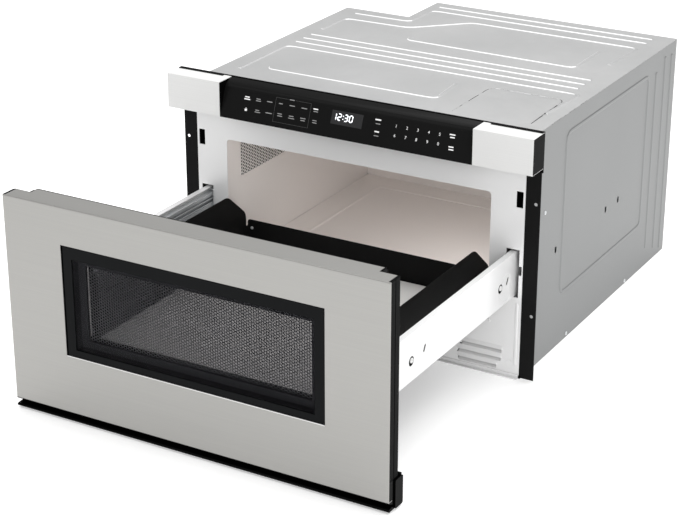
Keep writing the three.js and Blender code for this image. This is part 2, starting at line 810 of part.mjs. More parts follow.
function makeWindowGlass() {
  const front = doorFront + 0.4;
  return windowBlock(windowSide - seatGap, windowBottom + seatGap, windowTop - seatGap,
    [front, front + windowGlass]);
}

// black moulded frame, open at the back in cells between ribs
function makeDoorFrame() {
  const front = doorFront + doorSkin;
  const seat = doorFront + 0.4 + windowGlass;
  const body = block([-doorSide, doorSide], [front, doorEdgeBack],
    [pullTop + seatGap, doorTop - doorSkin]);
  const glassRebate = windowBlock(windowSide, windowBottom, windowTop, [front - 1, seat]);
  const aperture = windowBlock(screenSide, screenBottom, screenTop, [front - 1, doorEdgeBack + 1]);
  const recess = windowBlock(screenSide + recessSide, screenBottom - recessBelow,
    screenTop + recessAbove, [front - 1, doorFront + screenSetback - frameWall]);
  const screenRebate = windowBlock(screenSide + screenLap, screenBottom - screenLap,
    screenTop + screenLap, [doorFront + screenSetback, doorEdgeBack + 1]);
  const endCap = block([doorSide - endCapWidth + seatGap, doorSide], [front, doorEdgeBack],
    [doorTop - doorSkin - frameWall / 2, doorTop]);
  const openings = [glassRebate, recess, aperture, screenRebate, ...frameCells(seat + frameWall)];
  return join(cut(body, ...openings), endCap, mirrored(endCap));
}

function cellRow(x, z, count, front) {
  const step = (x[1] - x[0] + frameRib) / count;
  return Array.from({ length: count }, (_, i) => block(
    [x[0] + step * i, x[0] + step * (i + 1) - frameRib], [front, doorEdgeBack + 1], z));
}

function frameCells(front) {
  const outer = doorSide - frameWall;
  const collar = screenSide + recessSide + frameWall;
  const low = [pullTop + seatGap + frameWall, screenBottom - recessBelow - frameWall];
  const high = [screenTop + recessAbove + frameWall, doorTop - doorSkin - frameWall];
  const middle = [low[1] + frameRib, high[0] - frameRib];
  return [
    ...cellRow([-outer, outer], low, 5, front),
    ...cellRow([-outer, outer], high, 5, front),
    ...cellRow([collar, outer], middle, 1, front),
    ...cellRow([-outer, -collar], middle, 1, front),
  ];
}

function makeScreen() {
  const front = doorFront + screenSetback + seatGap;
  const lap = screenLap - seatGap;
  return windowBlock(screenSide + lap, screenBottom - lap, screenTop + lap,
    [front, front + screenThickness]);
}

function latchPocket() {
  return block([latchHookInner - seatGap, latchHookInner + latchHookWidth + seatGap],
    [doorEdgeBack - 1, doorBack + 1], [latchPivotHeight - 13, latchPivotHeight + 9]);
}

function latchPinHole() {
  return rodX(latchPinRadius + seatGap, latchHookInner - 2.4, latchHookInner + latchHookWidth + 2.4,
    latchPivotSetback, latchPivotHeight, 16);
}

// painted steel ring with a folded edge; it stops the waves at the cavity's mouth
function makeChokeFrame() {
  const depth = [doorEdgeBack, doorBack - chokeCover];
  const ring = block([-coreSide, coreSide], depth, [doorCoreBottom, doorTop - doorSkin]);
  const lap = innerWindowLap;
  const aperture = windowBlock(screenSide + lap, screenBottom - lap, screenTop + lap,
    [depth[0] - 1, depth[1] + 1]);
  const channel = cut(
    windowBlock(coreSide - 26, doorCoreBottom + 16, doorTop - 17, [depth[0] + 2, depth[1] + 1]),
    windowBlock(screenSide + 14, screenBottom - 14, screenTop + 14, [depth[0], depth[1] + 2]));
  return cut(ring, aperture, channel, latchPocket(), mirrored(latchPocket()),
    latchPinHole(), mirrored(latchPinHole()));
}

function makeChokeCover() {
  const depth = [doorBack - chokeCover, doorBack];
  const cover = block([-coreSide, coreSide], depth, [doorCoreBottom, doorTop - doorSkin - 1]);
  const lap = innerWindowLap;
  const aperture = windowBlock(screenSide + lap, screenBottom - lap, screenTop + lap,
    [depth[0] - 1, depth[1] + 1]);
  return cut(cover, aperture, latchPocket(), mirrored(latchPocket()));
}

function makeInnerWindow() {
  const front = doorEdgeBack + seatGap;
  const lap = innerWindowLap - seatGap;
  return windowBlock(screenSide + lap, screenBottom - lap, screenTop + lap, [front, front + 3]);
}

// glossy grip under the door, hollow from below for the fingers
function makeDoorPull() {
  const front = doorFront;
  const back = doorFront + pullDepth;
  const behindSkin = doorFront + doorSkin;
  const section = new THREE.Shape();
  section.moveTo(front, doorBottom);
  section.lineTo(front, doorBottom - pullShoulder);
  section.lineTo(front + pullGrooveDepth, pullGrooveHeight);
  section.lineTo(front + pullLipTip, pullGrooveHeight - pullGrooveFall);
  section.lineTo(front, pullGrooveHeight - pullGrooveFall - pullLipEdge);
  section.lineTo(front, pullBottom + pullLipTip);
  section.lineTo(front + pullLipTip, pullBottom);
  section.lineTo(front + pullLip, pullBottom);
  const recessFront = front + pullLip + pullRecessDraft;
  const recessBack = back - pullWall;
  section.lineTo(recessFront, pullRecessTop - pullRecessRounding);
  section.quadraticCurveTo(recessFront, pullRecessTop,
    recessFront + pullRecessRounding, pullRecessTop);
  section.lineTo(recessBack - pullRearRounding, pullRecessTop);
  section.quadraticCurveTo(recessBack, pullRecessTop, recessBack, pullRecessTop - pullRearRounding);
  section.lineTo(recessBack, pullBottom + pullRearFoot);
  section.lineTo(back, pullBottom + pullRearFoot);
  section.lineTo(back, pullTop);
  section.lineTo(behindSkin, pullTop);
  section.lineTo(behindSkin, doorBottom);
  const bar = extrudeYZ(section, -doorSide, doorSide, 5);
  const footSlot = block([-doorSide - 1, doorSide + 1],
    [behindSkin - 0.01, doorFront + skinFoot + seatGap],
    [doorBottom - 0.01, doorBottom + doorSkin + seatGap]);
  const end = extrudeYZ(
    roundedRectangle([front + pullGrooveDepth - pullEndInset, pullBottom],
      [back, pullTop - pullEndInset], pullEndRounding),
    doorSide, doorSide + pullEndReach, 3);
  return join(cut(bar, footSlot), end, mirrored(end));
}

// ---- drawer arms, slides and tray -------------------------------------------------------

const armFront = doorBack;

function makeArm() {
  const inner = armOutside - armSheet;
  const plate = extrudeYZ(rectangle([armFront, armBottom], [armRear, armTop]), inner, armOutside);
  const top = block([armOutside - armFlange, armOutside], [armFront, armRear],
    [armTop - armSheet, armTop]);
  const tab = block([armOutside - armFlange - 8, armOutside], [armFront, armFront + 1.2],
    [armBottom, armTop]);
  const holes = [-314, -47].map((y) => rodX(4, inner - 1, armOutside + 1, y, 159, 14));
  const slots = [-278, -25].map((y) => extrudeYZ(outline([
    [y - 3.6, 158.6], [y - 1.6, 158.4], [y + 3.6, 165.6], [y + 1.6, 165.8],
  ]), inner - 1, armOutside + 1));
  return cut(join(plate, top, tab), ...holes, ...slots);
}

// rolled slide section as [x, z] offsets from the fixed face and the slide's centre line
function channelSection(webSide, openSide, halfHeight, lip) {
  const turn = Math.sign(openSide - webSide);
  const web = webSide + turn * slideWeb;
  const end = openSide - turn * slideWeb;
  const inner = halfHeight - slideWeb;
  const upper = [
    [webSide, halfHeight], [openSide, halfHeight], [openSide, halfHeight - lip],
    [end, halfHeight - lip], [end, inner], [web, inner],
  ];
  const lower = upper.map(([x, z]) => [x, -z]).reverse();
  return [...upper, ...lower];
}

function slideMember(section, low, high) {
  const placed = section.map(([x, z]) => [slideFixedFace + x, slideCentre + z]);
  return extrudeXZ(outline(placed), low, high);
}

const slideFixedSection = channelSection(0, 10.4, slideHeight / 2, 4);
const slideMidSection = channelSection(1.9, 10.1, slideMidHeight / 2, 3.4);
const slideInnerSection = channelSection(slideWidth, 3.9, slideInnerHeight / 2, 2.4);

// strips of the ball cages on the middle member: one pair towards each neighbour
function slideCages() {
  const x = [slideFixedFace + 5.4, slideFixedFace + 7.2];
  const midHalf = slideMidHeight / 2;
  const outward = [midHalf - 0.4, slideHeight / 2 - slideWeb - seatGap];
  const inward = [slideInnerHeight / 2 + seatGap, midHalf - slideWeb + 0.4];
  return [
    { y: [6, 6 + slideCage], z: outward },
    { y: [-6 - slideCage, -6], z: inward },
  ].flatMap(({ y, z }) => [
    block(x, y, [slideCentre + z[0], slideCentre + z[1]]),
    block(x, y, [slideCentre - z[1], slideCentre - z[0]]),
  ]);
}

function makeSlides() {
  const midLow = -slideMidLength / 2;
  addPair('slide_fixed', slideMember(slideFixedSection, seatGap, slideLength), steel);
  addPair('slide_middle', join(slideMember(slideMidSection, midLow, midLow + slideMidLength),
    ...slideCages()), steel);
  addPair('slide_drawer', slideMember(slideInnerSection, armFront + 8, armRear - 8), steel);
}

// straight-sided rack teeth below a bar, as [y, z]
function makeRack() {
  const pitch = Math.PI * gearModule;
  const tip = rackPitchLine - rackAddendum;
  const root = rackPitchLine + gearDedendum;
  const flank = Math.tan(THREE.MathUtils.degToRad(20));
  const halfAtPitch = pitch / 4 - gearBacklash / 2;
  const halfTip = halfAtPitch - rackAddendum * flank;
  const halfRoot = halfAtPitch + gearDedendum * flank;
  const points = [];
  for (let i = 0; i < rackTeeth; i += 1) {
    const centre = pinionSetback + pitch * (i - rackTeeth + 2);
    points.push([centre - halfRoot, root], [centre - halfTip, tip],
      [centre + halfTip, tip], [centre + halfRoot, root]);
  }
  const start = points[0][0] - 1;
  const end = points[points.length - 1][0] + 1;
  const shape = outline([[start, root], ...points, [end, root], [end, rackBack], [start, rackBack]]);
  return extrudeYZ(shape, armOutside - armSheet - gearWidth - 1, armOutside - armSheet);
}

// involute spur gear about the X axis, with a tooth gap facing up at rest
function makePinion() {
  const pressure = THREE.MathUtils.degToRad(20);
  const baseRadius = pitchRadius * Math.cos(pressure);
  const tipRadius = pitchRadius + gearModule;
  const rootRadius = pitchRadius - gearDedendum;
  const involute = (radius) => {
    const angle = Math.acos(Math.min(1, baseRadius / radius));
    return Math.tan(angle) - angle;
  };
  const halfTooth = Math.PI / (2 * pinionTeeth) - gearBacklash / (2 * pitchRadius);
  const halfAngle = (radius) => halfTooth + involute(pitchRadius) - involute(radius);
  const radii = [rootRadius, Math.max(baseRadius, rootRadius + 0.3), pitchRadius,
    (pitchRadius + tipRadius) / 2, tipRadius];
  const points = [];
  for (let tooth = 0; tooth < pinionTeeth; tooth += 1) {
    const centre = (tooth + 0.5) * 2 * Math.PI / pinionTeeth;
    const side = (radius, sign) => {
      const angle = centre + sign * halfAngle(Math.max(radius, baseRadius));
      return [pinionSetback + radius * Math.sin(angle), pinionHeight + radius * Math.cos(angle)];
    };
    radii.forEach((radius) => points.push(side(radius, -1)));
    [...radii].reverse().forEach((radius) => points.push(side(radius, 1)));
  }
  const low = armOutside - armSheet - gearWidth - 1;
  const wheel = extrudeYZ(outline(points), low, low + gearWidth);
  const shaft = rodX(motorShaft, slideFixedFace - caseSheet - 14, low + gearWidth + 0.8,
    pinionSetback, pinionHeight, 16);
  return join(wheel, shaft);
}

// gear motor on the slide bracket, with the bearing of the pinion's shaft
function makeDriveMotor() {
  const face = slideFixedFace - caseSheet;
  const gearbox = extrudeYZ(roundedRectangle([pinionSetback - 19, pinionHeight - 44],
    [pinionSetback + 21, pinionHeight + 17], 8), face - 17, face, 3);
  const can = rodZ(motorRadius, pinionHeight - 96, pinionHeight - 42,
    (face + cavitySide + cavitySheet) / 2, pinionSetback + 1, 20);
  const bearing = rodX(motorShaft + seatGap, face - 14.3, face + 1, pinionSetback, pinionHeight, 16);
  return cut(join(gearbox, can), bearing);
}

// right bracket that the fixed slide member is screwed to; the left one has no shaft hole
function makeSlideBracket(hasShaftHole) {
  const face = slideFixedFace;
  const depth = [face - caseSheet - 1, face + 1];
  const plate = block([face - caseSheet, face], [seatGap, slideLength],
    [caseSheet, slideCentre + slideHeight / 2]);
  const foot = block([face - bracketFoot, face], [slideLength / 2 - 90, slideLength],
    [caseSheet, caseSheet * 2]);
  const windows = [110, 220, 330].map((y) => extrudeYZ(
    roundedRectangle([y, 30], [y + 84, 104], 12), ...depth, 3));
  const shaftHole = rodX(motorShaft + 2, ...depth, pinionSetback, pinionHeight, 16);
  return cut(join(plate, foot), ...windows, ...(hasShaftHole ? [shaftHole] : []));
}

// side of the drawer tray, with the raised corner at its rear
function makeTraySide() {
  const side = traySideReach;
  const crest = roundedPath([
    [doorBack, traySideTop], [trayChamferStart, traySideTop], [traySideRear, trayRearTop],
    [traySideRear, trayFloor],
  ], 9, 4);
  const sheet = extrudeYZ(outline([[doorBack, trayFloor], ...crest]
    .reverse()), side - traySheet, side);
  const foot = block([side - 16, side], [doorBack, traySideRear], [trayFloor, trayFloor + traySheet]);
  return join(sheet, foot);
}

function makeTray() {
  const inner = traySideReach - traySheet - seatGap;
  const floorLow = trayFloor + traySheet;
  const floorHigh = floorLow + traySheet;
  const backFace = traySideRear + trayBackReach;
  addPair('tray_side', makeTraySide(), blackEnamel);
  const floor = block([-inner, inner], [doorBack, backFace + traySheet], [floorLow, floorHigh]);
  const back = extrudeXZ(outline(roundedPath([
    [-inner, floorLow], [-inner, trayBackTop], [inner, trayBackTop], [inner, floorLow],
  ], trayBackRounding, 3)), backFace, backFace + traySheet);
  const flange = block([inner - traySheet, inner], [traySideRear - trayBackFlange, backFace + 0.1],
    [floorLow, trayBackTop - 2 * trayBackRounding]);
  const screwHoles = [1, -1].map((turn) => (
    rodY(2.4, backFace - 1, backFace + traySheet + 1, turn * (inner - 8), trayScrewHeight, 12)));
  addPart('tray_pan', join(floor, cut(back, ...screwHoles), flange, mirrored(flange)), blackEnamel);
  addPart('tray_glass', extrudeXY(roundedRectangle([-inner + 3, doorBack + 3],
    [inner - 3, backFace - 3], 8), floorHigh, floorHigh + trayGlass, 3), whiteEnamel);
}

// ---- latch ------------------------------------------------------------------------------

// sprung hook that enters the front plate's slot when the drawer shuts
function makeLatchHook() {
  const z = latchPivotHeight;
  const y = latchPivotSetback;
  const tip = doorBack + latchHookReach;
  const profile = roundedOutline([
    [y - 5, z - 5], [tip - 9, z - 3], [tip - 7, z - 9], [tip - 3, z - 9], [tip, z - 2],
    [tip - 4, z + 4], [y - 5, z + 5],
  ], 2);
  const hook = extrudeYZ(profile, latchHookInner, latchHookInner + latchHookWidth);
  const pin = rodX(latchPinRadius, latchHookInner - 2.1, latchHookInner + latchHookWidth + 2.1, y, z, 16);
  return join(hook, pin);
}

function makeInterlockSwitch() {
  const body = block([latchSlotInner - 5, plateSide - seatGap], [0, 34],
    [latchSlotBottom - 8, latchSlotTop + 9]);
  const pocket = block([latchSlotInner, latchSlotInner + latchSlotWidth], [-1, 28],
    [latchSlotBottom, latchSlotTop]);
  const switches = [latchSlotBottom - 4, latchSlotTop - 6].map((z) => (
    block([latchSlotInner - 15, latchSlotInner - 4.9], [6, 26], [z, z + 10])));
  return join(cut(body, pocket), ...switches);
}

// ---- inside the case --------------------------------------------------------------------

const stirrerHalf = stirrerRadius + 10;
const ceiling = cavityTop + cavitySheet;
const guideHeight = 36;

function makeStirrer() {
  const rear = stirrerSetback + stirrerHalf;
  const wall = cavitySheet;
  const pan = cut(
    block([-stirrerHalf, stirrerHalf], [stirrerSetback - stirrerHalf, rear],
      [ceiling, ceiling + guideHeight]),
    block([-stirrerHalf + wall, stirrerHalf - wall],
      [stirrerSetback - stirrerHalf + wall, rear - wall], [ceiling - 1, ceiling + guideHeight - wall]),
    block([-guideHalf + wall, guideHalf - wall], [rear - 5, rear + 1],
      [ceiling + wall, ceiling + guideHeight - wall]),
    rodZ(stirrerShaft + seatGap, ceiling, ceiling + guideHeight + 1, 0, stirrerSetback, 16),
  );
  addPart('waveguide', join(pan, makeWaveguideTube()), galvanised);
  const cover = revolve([[0, cavityTop - 1.6], [stirrerRadius + 6, cavityTop - 1.6],
    [stirrerRadius + 6, cavityTop], [0, cavityTop]], 32).translate([0, stirrerSetback, 0]);
  addPart('stirrer_cover', cover, whitePlastic);
  const vane = extrudeXY(roundedOutline([
    [-8, 0], [-20, stirrerRadius - 14], [-4, stirrerRadius - 8], [16, stirrerRadius - 14], [8, 0],
  ], 5), ceiling + 12, ceiling + 13.2);
  const vanes = [0, 120, 240].map((turn) => vane.rotate([0, 0, turn]));
  const hub = rodZ(12, ceiling + 10, ceiling + 18, 0, 0, 20);
  const shaft = rodZ(stirrerShaft, ceiling + 17, ceiling + guideHeight + 9, 0, 0, 16);
  addPart('stirrer_blade', join(hub, shaft, ...vanes).translate([0, stirrerSetback, 0]), steel);
  const motorLow = ceiling + guideHeight;
  const motor = revolve([[0, motorLow], [24, motorLow], [24, motorLow + 13], [21, motorLow + 15],
    [0, motorLow + 15]], 24).translate([0, stirrerSetback, 0]);
  const socket = rodZ(stirrerShaft + seatGap, motorLow - 1, motorLow + 9.3, 0, stirrerSetback, 16);
  addPart('stirrer_motor', cut(motor, socket), steel);
}

// rectangular duct from the magnetron to the stirrer's pan
function makeWaveguideTube() {
  const wall = cavitySheet;
  const low = stirrerSetback + stirrerHalf;
  return cut(
    block([-guideHalf, guideHalf], [low, guideRear], [ceiling, ceiling + guideHeight]),
    block([-guideHalf + wall, guideHalf - wall], [low - 1, guideRear - wall],
      [ceiling + wall, ceiling + guideHeight - wall]),
    rodZ(antennaRadius + 4, ceiling - 1, ceiling + 5, 0, magnetronSetback, 20),
  );
}

// block of the given size whose foot is centred on a place
function standing(centre, size, foot) {
  return block([centre[0] - size[0] / 2, centre[0] + size[0] / 2],
    [centre[1] - size[1] / 2, centre[1] + size[1] / 2], [foot, foot + size[2]]);
}

// yoke, cooling fins, filter box and antenna, hung under the waveguide
function makeMagnetron() {
  const [width, depth, height] = magnetronSize;
  const centre = [0, magnetronSetback];
  const foot = ceiling - height - 2;
  const yoke = cut(standing(centre, magnetronSize, foot),
    standing(centre, [width - 6, depth + 2, height - 7], foot + 3));
  const pitch = (height - 16) / 6;
  const fins = Array.from({ length: 6 }, (_, i) => (
    standing(centre, [width - 4, depth - 4, 1], foot + 12 + i * pitch)));
  const anode = rodZ(width / 4 - 1, foot + 2, ceiling - 5, 0, magnetronSetback, 16);
  const filterBox = standing(centre, filterBoxSize, foot - filterBoxSize[2] + 1);
  const mount = standing(centre, [guideHalf * 2, depth + 12, 3], ceiling - 3);
  const antenna = rodZ(antennaRadius, ceiling - 1, ceiling + 22, 0, magnetronSetback, 16);
  addPart('magnetron', join(yoke, ...fins, anode, filterBox, mount, antenna), steel);
}

function makeTransformer() {
  const [x, y] = transformerCentre;
  const [width, depth, height] = transformerCore;
  const foot = standing(transformerCentre, [width + 2 * transformerFoot,
    depth + 2 * transformerFoot, 2], caseSheet);
  const core = standing(transformerCentre, transformerCore, caseSheet);
  const half = [width * 0.31, depth / 2 + windingReach];
  const winding = extrudeXZ(roundedRectangle([x - half[0], height * 0.22], [x + half[0], height * 0.8], 6),
    y - half[1], y + half[1], 3);
  const terminals = [-12, 0, 12].map((shift) => (
    standing([x + shift, y - depth * 0.4], [4, 6, 10], caseSheet + height - 1)));
  addPart('power_transformer', join(foot, core, winding, ...terminals), castZinc);
}

function makeCapacitor() {
  const [x, y] = capacitorCentre;
  const top = caseSheet + capacitorSize[2];
  const roundedBlock = (grow, low, high) => {
    const half = [capacitorSize[0] / 2 + grow, capacitorSize[1] / 2 + grow];
    return extrudeXY(roundedRectangle([x - half[0], y - half[1]], [x + half[0], y + half[1]],
      half[1] - 1), low, high, 2);
  };
  const strap = roundedBlock(capacitorBand, top * 0.46, top * 0.6);
  const foot = standing([x + capacitorSize[0] / 2 + 9, y], [26, 18, 2], caseSheet);
  const terminals = [-1, 1].map((turn) => (
    rodZ(4, top - 1, top + 10, x + turn * capacitorSize[0] * 0.21, y, 12)));
  const can = roundedBlock(0, caseSheet, top);
  addPart('high_voltage_capacitor', join(can, strap, foot, ...terminals), steel);
}

function makeCoolingFan() {
  const rear = caseDepth - caseSheet;
  const half = fanRadius + 7;
  const plate = block([fanCentreX - half, fanCentreX + half], [rear - 4, rear],
    [fanCentreZ - half, fanCentreZ + half]);
  const collar = rodY(fanRadius + 4, rear - 32, rear - 3, fanCentreX, fanCentreZ, 32);
  const mouth = rodY(fanRadius + 1.5, rear - 34, rear + 1, fanCentreX, fanCentreZ, 32);
  const arm = block([fanCentreX - fanRadius - 3, fanCentreX + fanRadius + 3],
    [rear - 44, rear - 40], [fanCentreZ - 7, fanCentreZ + 7]);
  const legs = [-1, 1].map((turn) => {
    const x = fanCentreX + turn * (fanRadius + 1);
    return block([x - 2.4, x + 2.4], [rear - 44, rear - 30], [fanCentreZ - 7, fanCentreZ + 7]);
  });
  const shaftHole = rodY(3.4, rear - 46, rear - 36, fanCentreX, fanCentreZ, 16);
  const ring = cut(join(plate, collar), mouth);
  addPart('fan_shroud', cut(join(ring, arm, ...legs), shaftHole), blackPlastic);
  const can = rodY(23, rear - 72, rear - 44, fanCentreX, fanCentreZ, 24);
  const bearing = rodY(2.5 + seatGap, rear - 60, rear - 40, fanCentreX, fanCentreZ, 16);
  addPart('fan_motor', cut(can, bearing), steel);
  const blade = block([6, fanRadius - 1.5], [-0.7, 0.7], [-13, 13]);
  const blades = Array.from({ length: 7 }, (_, i) => (
    blade.rotate([34, 0, 0]).rotate([0, (i * 360) / 7, 0]).translate([fanCentreX, rear - 20, fanCentreZ])));
  const hub = rodY(16, rear - 32, rear - 8, fanCentreX, fanCentreZ, 24);
  const shaft = rodY(2.5, rear - 58, rear - 30, fanCentreX, fanCentreZ, 16);
  addPart('fan_wheel', join(hub, shaft, ...blades), blackPlastic);
}

function makePowerBoard() {
  const [x, y] = powerBoardCentre;
  const [width, depth] = powerBoardSize;
  const low = ceiling + boardStandOff;
  const board = standing(powerBoardCentre, [width, depth, boardThickness], low);
  const feet = [[-1, -1], [1, -1], [-1, 1], [1, 1]].map((side) => (
    rodZ(3, ceiling, low + 0.5, x + side[0] * (width / 2 - 8), y + side[1] * (depth / 2 - 8), 10)));
  const sinkCentre = [x - width * 0.28, y - depth * 0.13];
  const sinkBase = standing(sinkCentre, [32, 50, 4.2], low + 1);
  const fins = Array.from({ length: 6 }, (_, i) => (
    standing([sinkCentre[0] - 12.5 + i * 5, sinkCentre[1]], [2, 50, 27], low + 5)));
  const relays = [-43, -11, 21].map((shift) => (
    standing([x + width * 0.2, y + shift], [20, 24, relayHeight], low + 1)));
  addPart('power_board', join(board, ...feet, sinkBase, ...fins, ...relays), boardGreen);
}

function makeLamp() {
  const wall = cavitySide + cavitySheet;
  const socket = rodX(15, wall, wall + 20, lampSetback, lampHeight, 20);
  const hollow = rodX(12, wall - 1, wall + 9, lampSetback, lampHeight, 20);
  const bulb = rodX(6, wall + 1, wall + 10, lampSetback, lampHeight, 14);
  addPart('oven_lamp', join(cut(socket, hollow), bulb), whitePlastic);
}

// ---- assembly ---------------------------------------------------------------------------

addPart('top_panel', makeTopPanel(), galvanised);
makeSidePanels();
makeRearPanels();
makeCordGland();
addPart('base_pan', makeBasePan(), galvanised);
addPart('front_plate', makeFrontPlate(), whiteEnamel);
makeFlanges();
makeCavity();
addPart('panel_housing', makePanelHousing(), blackPlastic);
addPart('panel_glass', makePanelGlass(), blackGlass);
addPart('clock_window', displayShape(0), blackGlass);
makeCornerCaps();
addPart('control_board', makeControlBoard(), boardGreen);
addPart('door_skin', makeDoorSkin(), stainless);
addPart('window_glass', makeWindowGlass(), blackGlass);
addPart('door_frame', makeDoorFrame(), blackPlastic);
addPart('window_screen', makeScreen(), steel);
addPart('inner_window', makeInnerWindow(), blackGlass);
addPart('choke_frame', makeChokeFrame(), blackEnamel);
addPart('choke_cover', makeChokeCover(), blackPlastic);
addPart('door_pull', makeDoorPull(), blackPlastic);
addPair('drawer_arm', makeArm(), whiteEnamel);
makeSlides();
addPart('slide_bracket_right', makeSlideBracket(true), galvanised);
addPart('slide_bracket_left', mirrored(makeSlideBracket(false)), galvanised);
addPart('drive_rack', makeRack(), whitePlastic);
addPart('drive_pinion', makePinion(), steel);
addPart('drive_motor', makeDriveMotor(), castZinc);
makeTray();
addPair('latch_hook', makeLatchHook(), blackPlastic);
addPair('interlock_switch', makeInterlockSwitch(), blackPlastic);
makeStirrer();
makeMagnetron();
makeTransformer();
makeCapacitor();
makeCoolingFan();
makePowerBoard();
makeLamp();

export default drawerUnit;
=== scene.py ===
import json
import math
import bmesh
import bpy
from mathutils import Matrix, Vector


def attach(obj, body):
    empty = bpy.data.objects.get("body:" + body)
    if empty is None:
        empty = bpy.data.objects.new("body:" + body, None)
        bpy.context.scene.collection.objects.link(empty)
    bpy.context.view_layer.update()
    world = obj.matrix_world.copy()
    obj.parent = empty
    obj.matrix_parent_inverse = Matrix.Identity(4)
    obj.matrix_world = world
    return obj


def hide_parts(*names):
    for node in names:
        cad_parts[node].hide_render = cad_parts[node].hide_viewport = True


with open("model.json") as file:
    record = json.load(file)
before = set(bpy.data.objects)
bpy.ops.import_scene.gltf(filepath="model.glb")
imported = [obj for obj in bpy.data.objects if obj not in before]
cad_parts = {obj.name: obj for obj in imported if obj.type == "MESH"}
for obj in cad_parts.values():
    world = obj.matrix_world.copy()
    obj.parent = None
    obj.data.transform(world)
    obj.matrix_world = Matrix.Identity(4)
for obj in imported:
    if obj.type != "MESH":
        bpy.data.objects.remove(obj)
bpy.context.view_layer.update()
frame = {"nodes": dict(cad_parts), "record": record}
record = frame["record"]
bodyOf = {node: body for body, nodes in record["behaviour"]["bodies"].items() for node in nodes}
slotOf = {entry["node"]: entry["material_slot"] for entry in record["subparts"]}
print("frame loaded:", len(frame["nodes"]), "nodes")


# selection and modelling helpers; every size that they take is in millimetres, every angle in degrees

# in radians: the angle from which selectEdges counts an edge as sharp
sharpAngle = 0.5


def clearSelection():
    if bpy.context.mode != "OBJECT":
        bpy.ops.object.mode_set(mode="OBJECT")
    bpy.ops.object.select_all(action="DESELECT")


def makeActive(piece):
    clearSelection()
    piece.select_set(True)
    bpy.context.view_layer.objects.active = piece


# names the piece that was just added, and puts its place and size into its mesh
def settle(name):
    piece = bpy.context.active_object
    piece.name = name
    makeActive(piece)
    bpy.ops.object.transform_apply(location=True, rotation=True, scale=True)
    return piece


def addBlock(name, low, high):
    clearSelection()
    middle = [(a + b) / 2000 for a, b in zip(low, high)]
    size = [(b - a) / 1000 for a, b in zip(low, high)]
    bpy.ops.mesh.primitive_cube_add(size=1, location=middle, scale=size)
    return settle(name)


def addRod(name, radius, start, end, sides=24):
    clearSelection()
    start, end = Vector(start) / 1000, Vector(end) / 1000
    turn = (end - start).to_track_quat("Z", "Y").to_euler()
    bpy.ops.mesh.primitive_cylinder_add(vertices=sides, radius=radius / 1000,
                                        depth=(end - start).length,
                                        location=(start + end) / 2, rotation=turn)
    return settle(name)


def enterEdit(piece):
    makeActive(piece)
    bpy.ops.object.mode_set(mode="EDIT")


def leaveEdit():
    bpy.ops.object.mode_set(mode="OBJECT")


# opens edit mode with the faces or the edges selected that pass a test
def openSelected(piece, kind, passes):
    enterEdit(piece)
    bpy.ops.mesh.select_mode(type=kind)
    bpy.ops.mesh.select_all(action="DESELECT")
    mesh = bmesh.from_edit_mesh(piece.data)
    for part in mesh.faces if kind == "FACE" else mesh.edges:
        part.select_set(passes(part))
    bmesh.update_edit_mesh(piece.data)


# faces, by middle and normal
def selectFaces(piece, wanted):
    openSelected(piece, "FACE", lambda face: wanted(face.calc_center_median() * 1000, face.normal))


# sharp edges, by middle and direction
def selectEdges(piece, wanted):
    def passes(edge):
        a, b = edge.verts
        return edge.calc_face_angle(0) > sharpAngle and wanted((a.co + b.co) * 500,
                                                               (b.co - a.co).normalized())
    openSelected(piece, "EDGE", passes)


def bevelEdges(piece, wanted, width, segments, **more):
    selectEdges(piece, wanted)
    bpy.ops.mesh.bevel(offset=width / 1000, segments=segments, **more)
    leaveEdit()


# moves the selected faces or edges, by millimetres
def shift(x, y, z):
    bpy.ops.transform.translate(value=(x / 1000, y / 1000, z / 1000))
    leaveEdit()


def applyModifier(piece, kind, **settings):
    makeActive(piece)
    modifier = piece.modifiers.new(kind.title(), kind)
    for key, value in settings.items():
        setattr(modifier, key, value)
    bpy.ops.object.modifier_apply(modifier=modifier.name)


def cutWith(piece, *cutters):
    for cutter in cutters:
        applyModifier(piece, "BOOLEAN", object=cutter, operation="DIFFERENCE", solver="EXACT")
        bpy.data.objects.remove(cutter)


def smoothByAngle(piece, angle):
    makeActive(piece)
    bpy.ops.object.shade_smooth_by_angle(angle=math.radians(angle))


# rounds the edges that are sharper than an angle, and shades the flats flat
def roundEdges(piece, width, segments=2, angle=30, clamp=False):
    makeActive(piece)
    bpy.ops.object.shade_smooth()
    applyModifier(piece, "BEVEL", width=width / 1000, segments=segments, limit_method="ANGLE",
                  angle_limit=math.radians(angle), use_clamp_overlap=clamp)
    applyModifier(piece, "WEIGHTED_NORMAL", weight=50, keep_sharp=False)


def joinPieces(name, pieces):
    clearSelection()
    for piece in pieces:
        piece.select_set(True)
    bpy.context.view_layer.objects.active = pieces[0]
    if len(pieces) > 1:
        bpy.ops.object.join()
    pieces[0].name = name
    return pieces[0]


# a frame that faces the front; its sides are left, bottom, right and top
def addFrame(name, outside, inside, front, back):
    piece = addBlock(name, (outside[0], front, outside[1]), (outside[2], back, outside[3]))
    cutWith(piece, addBlock("opening", (inside[0], front - 1, inside[1]),
                            (inside[2], back + 1, inside[3])))
    return piece


# a copy with its own mesh, moved by a matrix that is applied to the mesh
def copyTo(piece, matrix):
    copy = piece.copy()
    copy.data = piece.data.copy()
    bpy.context.scene.collection.objects.link(copy)
    copy.data.transform(matrix)
    return copy


def mirroredCopy(piece, name):
    copy = copyTo(piece, Matrix.Scale(-1, 4, (1, 0, 0)))
    copy.name = name
    enterEdit(copy)
    bpy.ops.mesh.select_all(action="SELECT")
    bpy.ops.mesh.flip_normals()
    leaveEdit()
    return copy


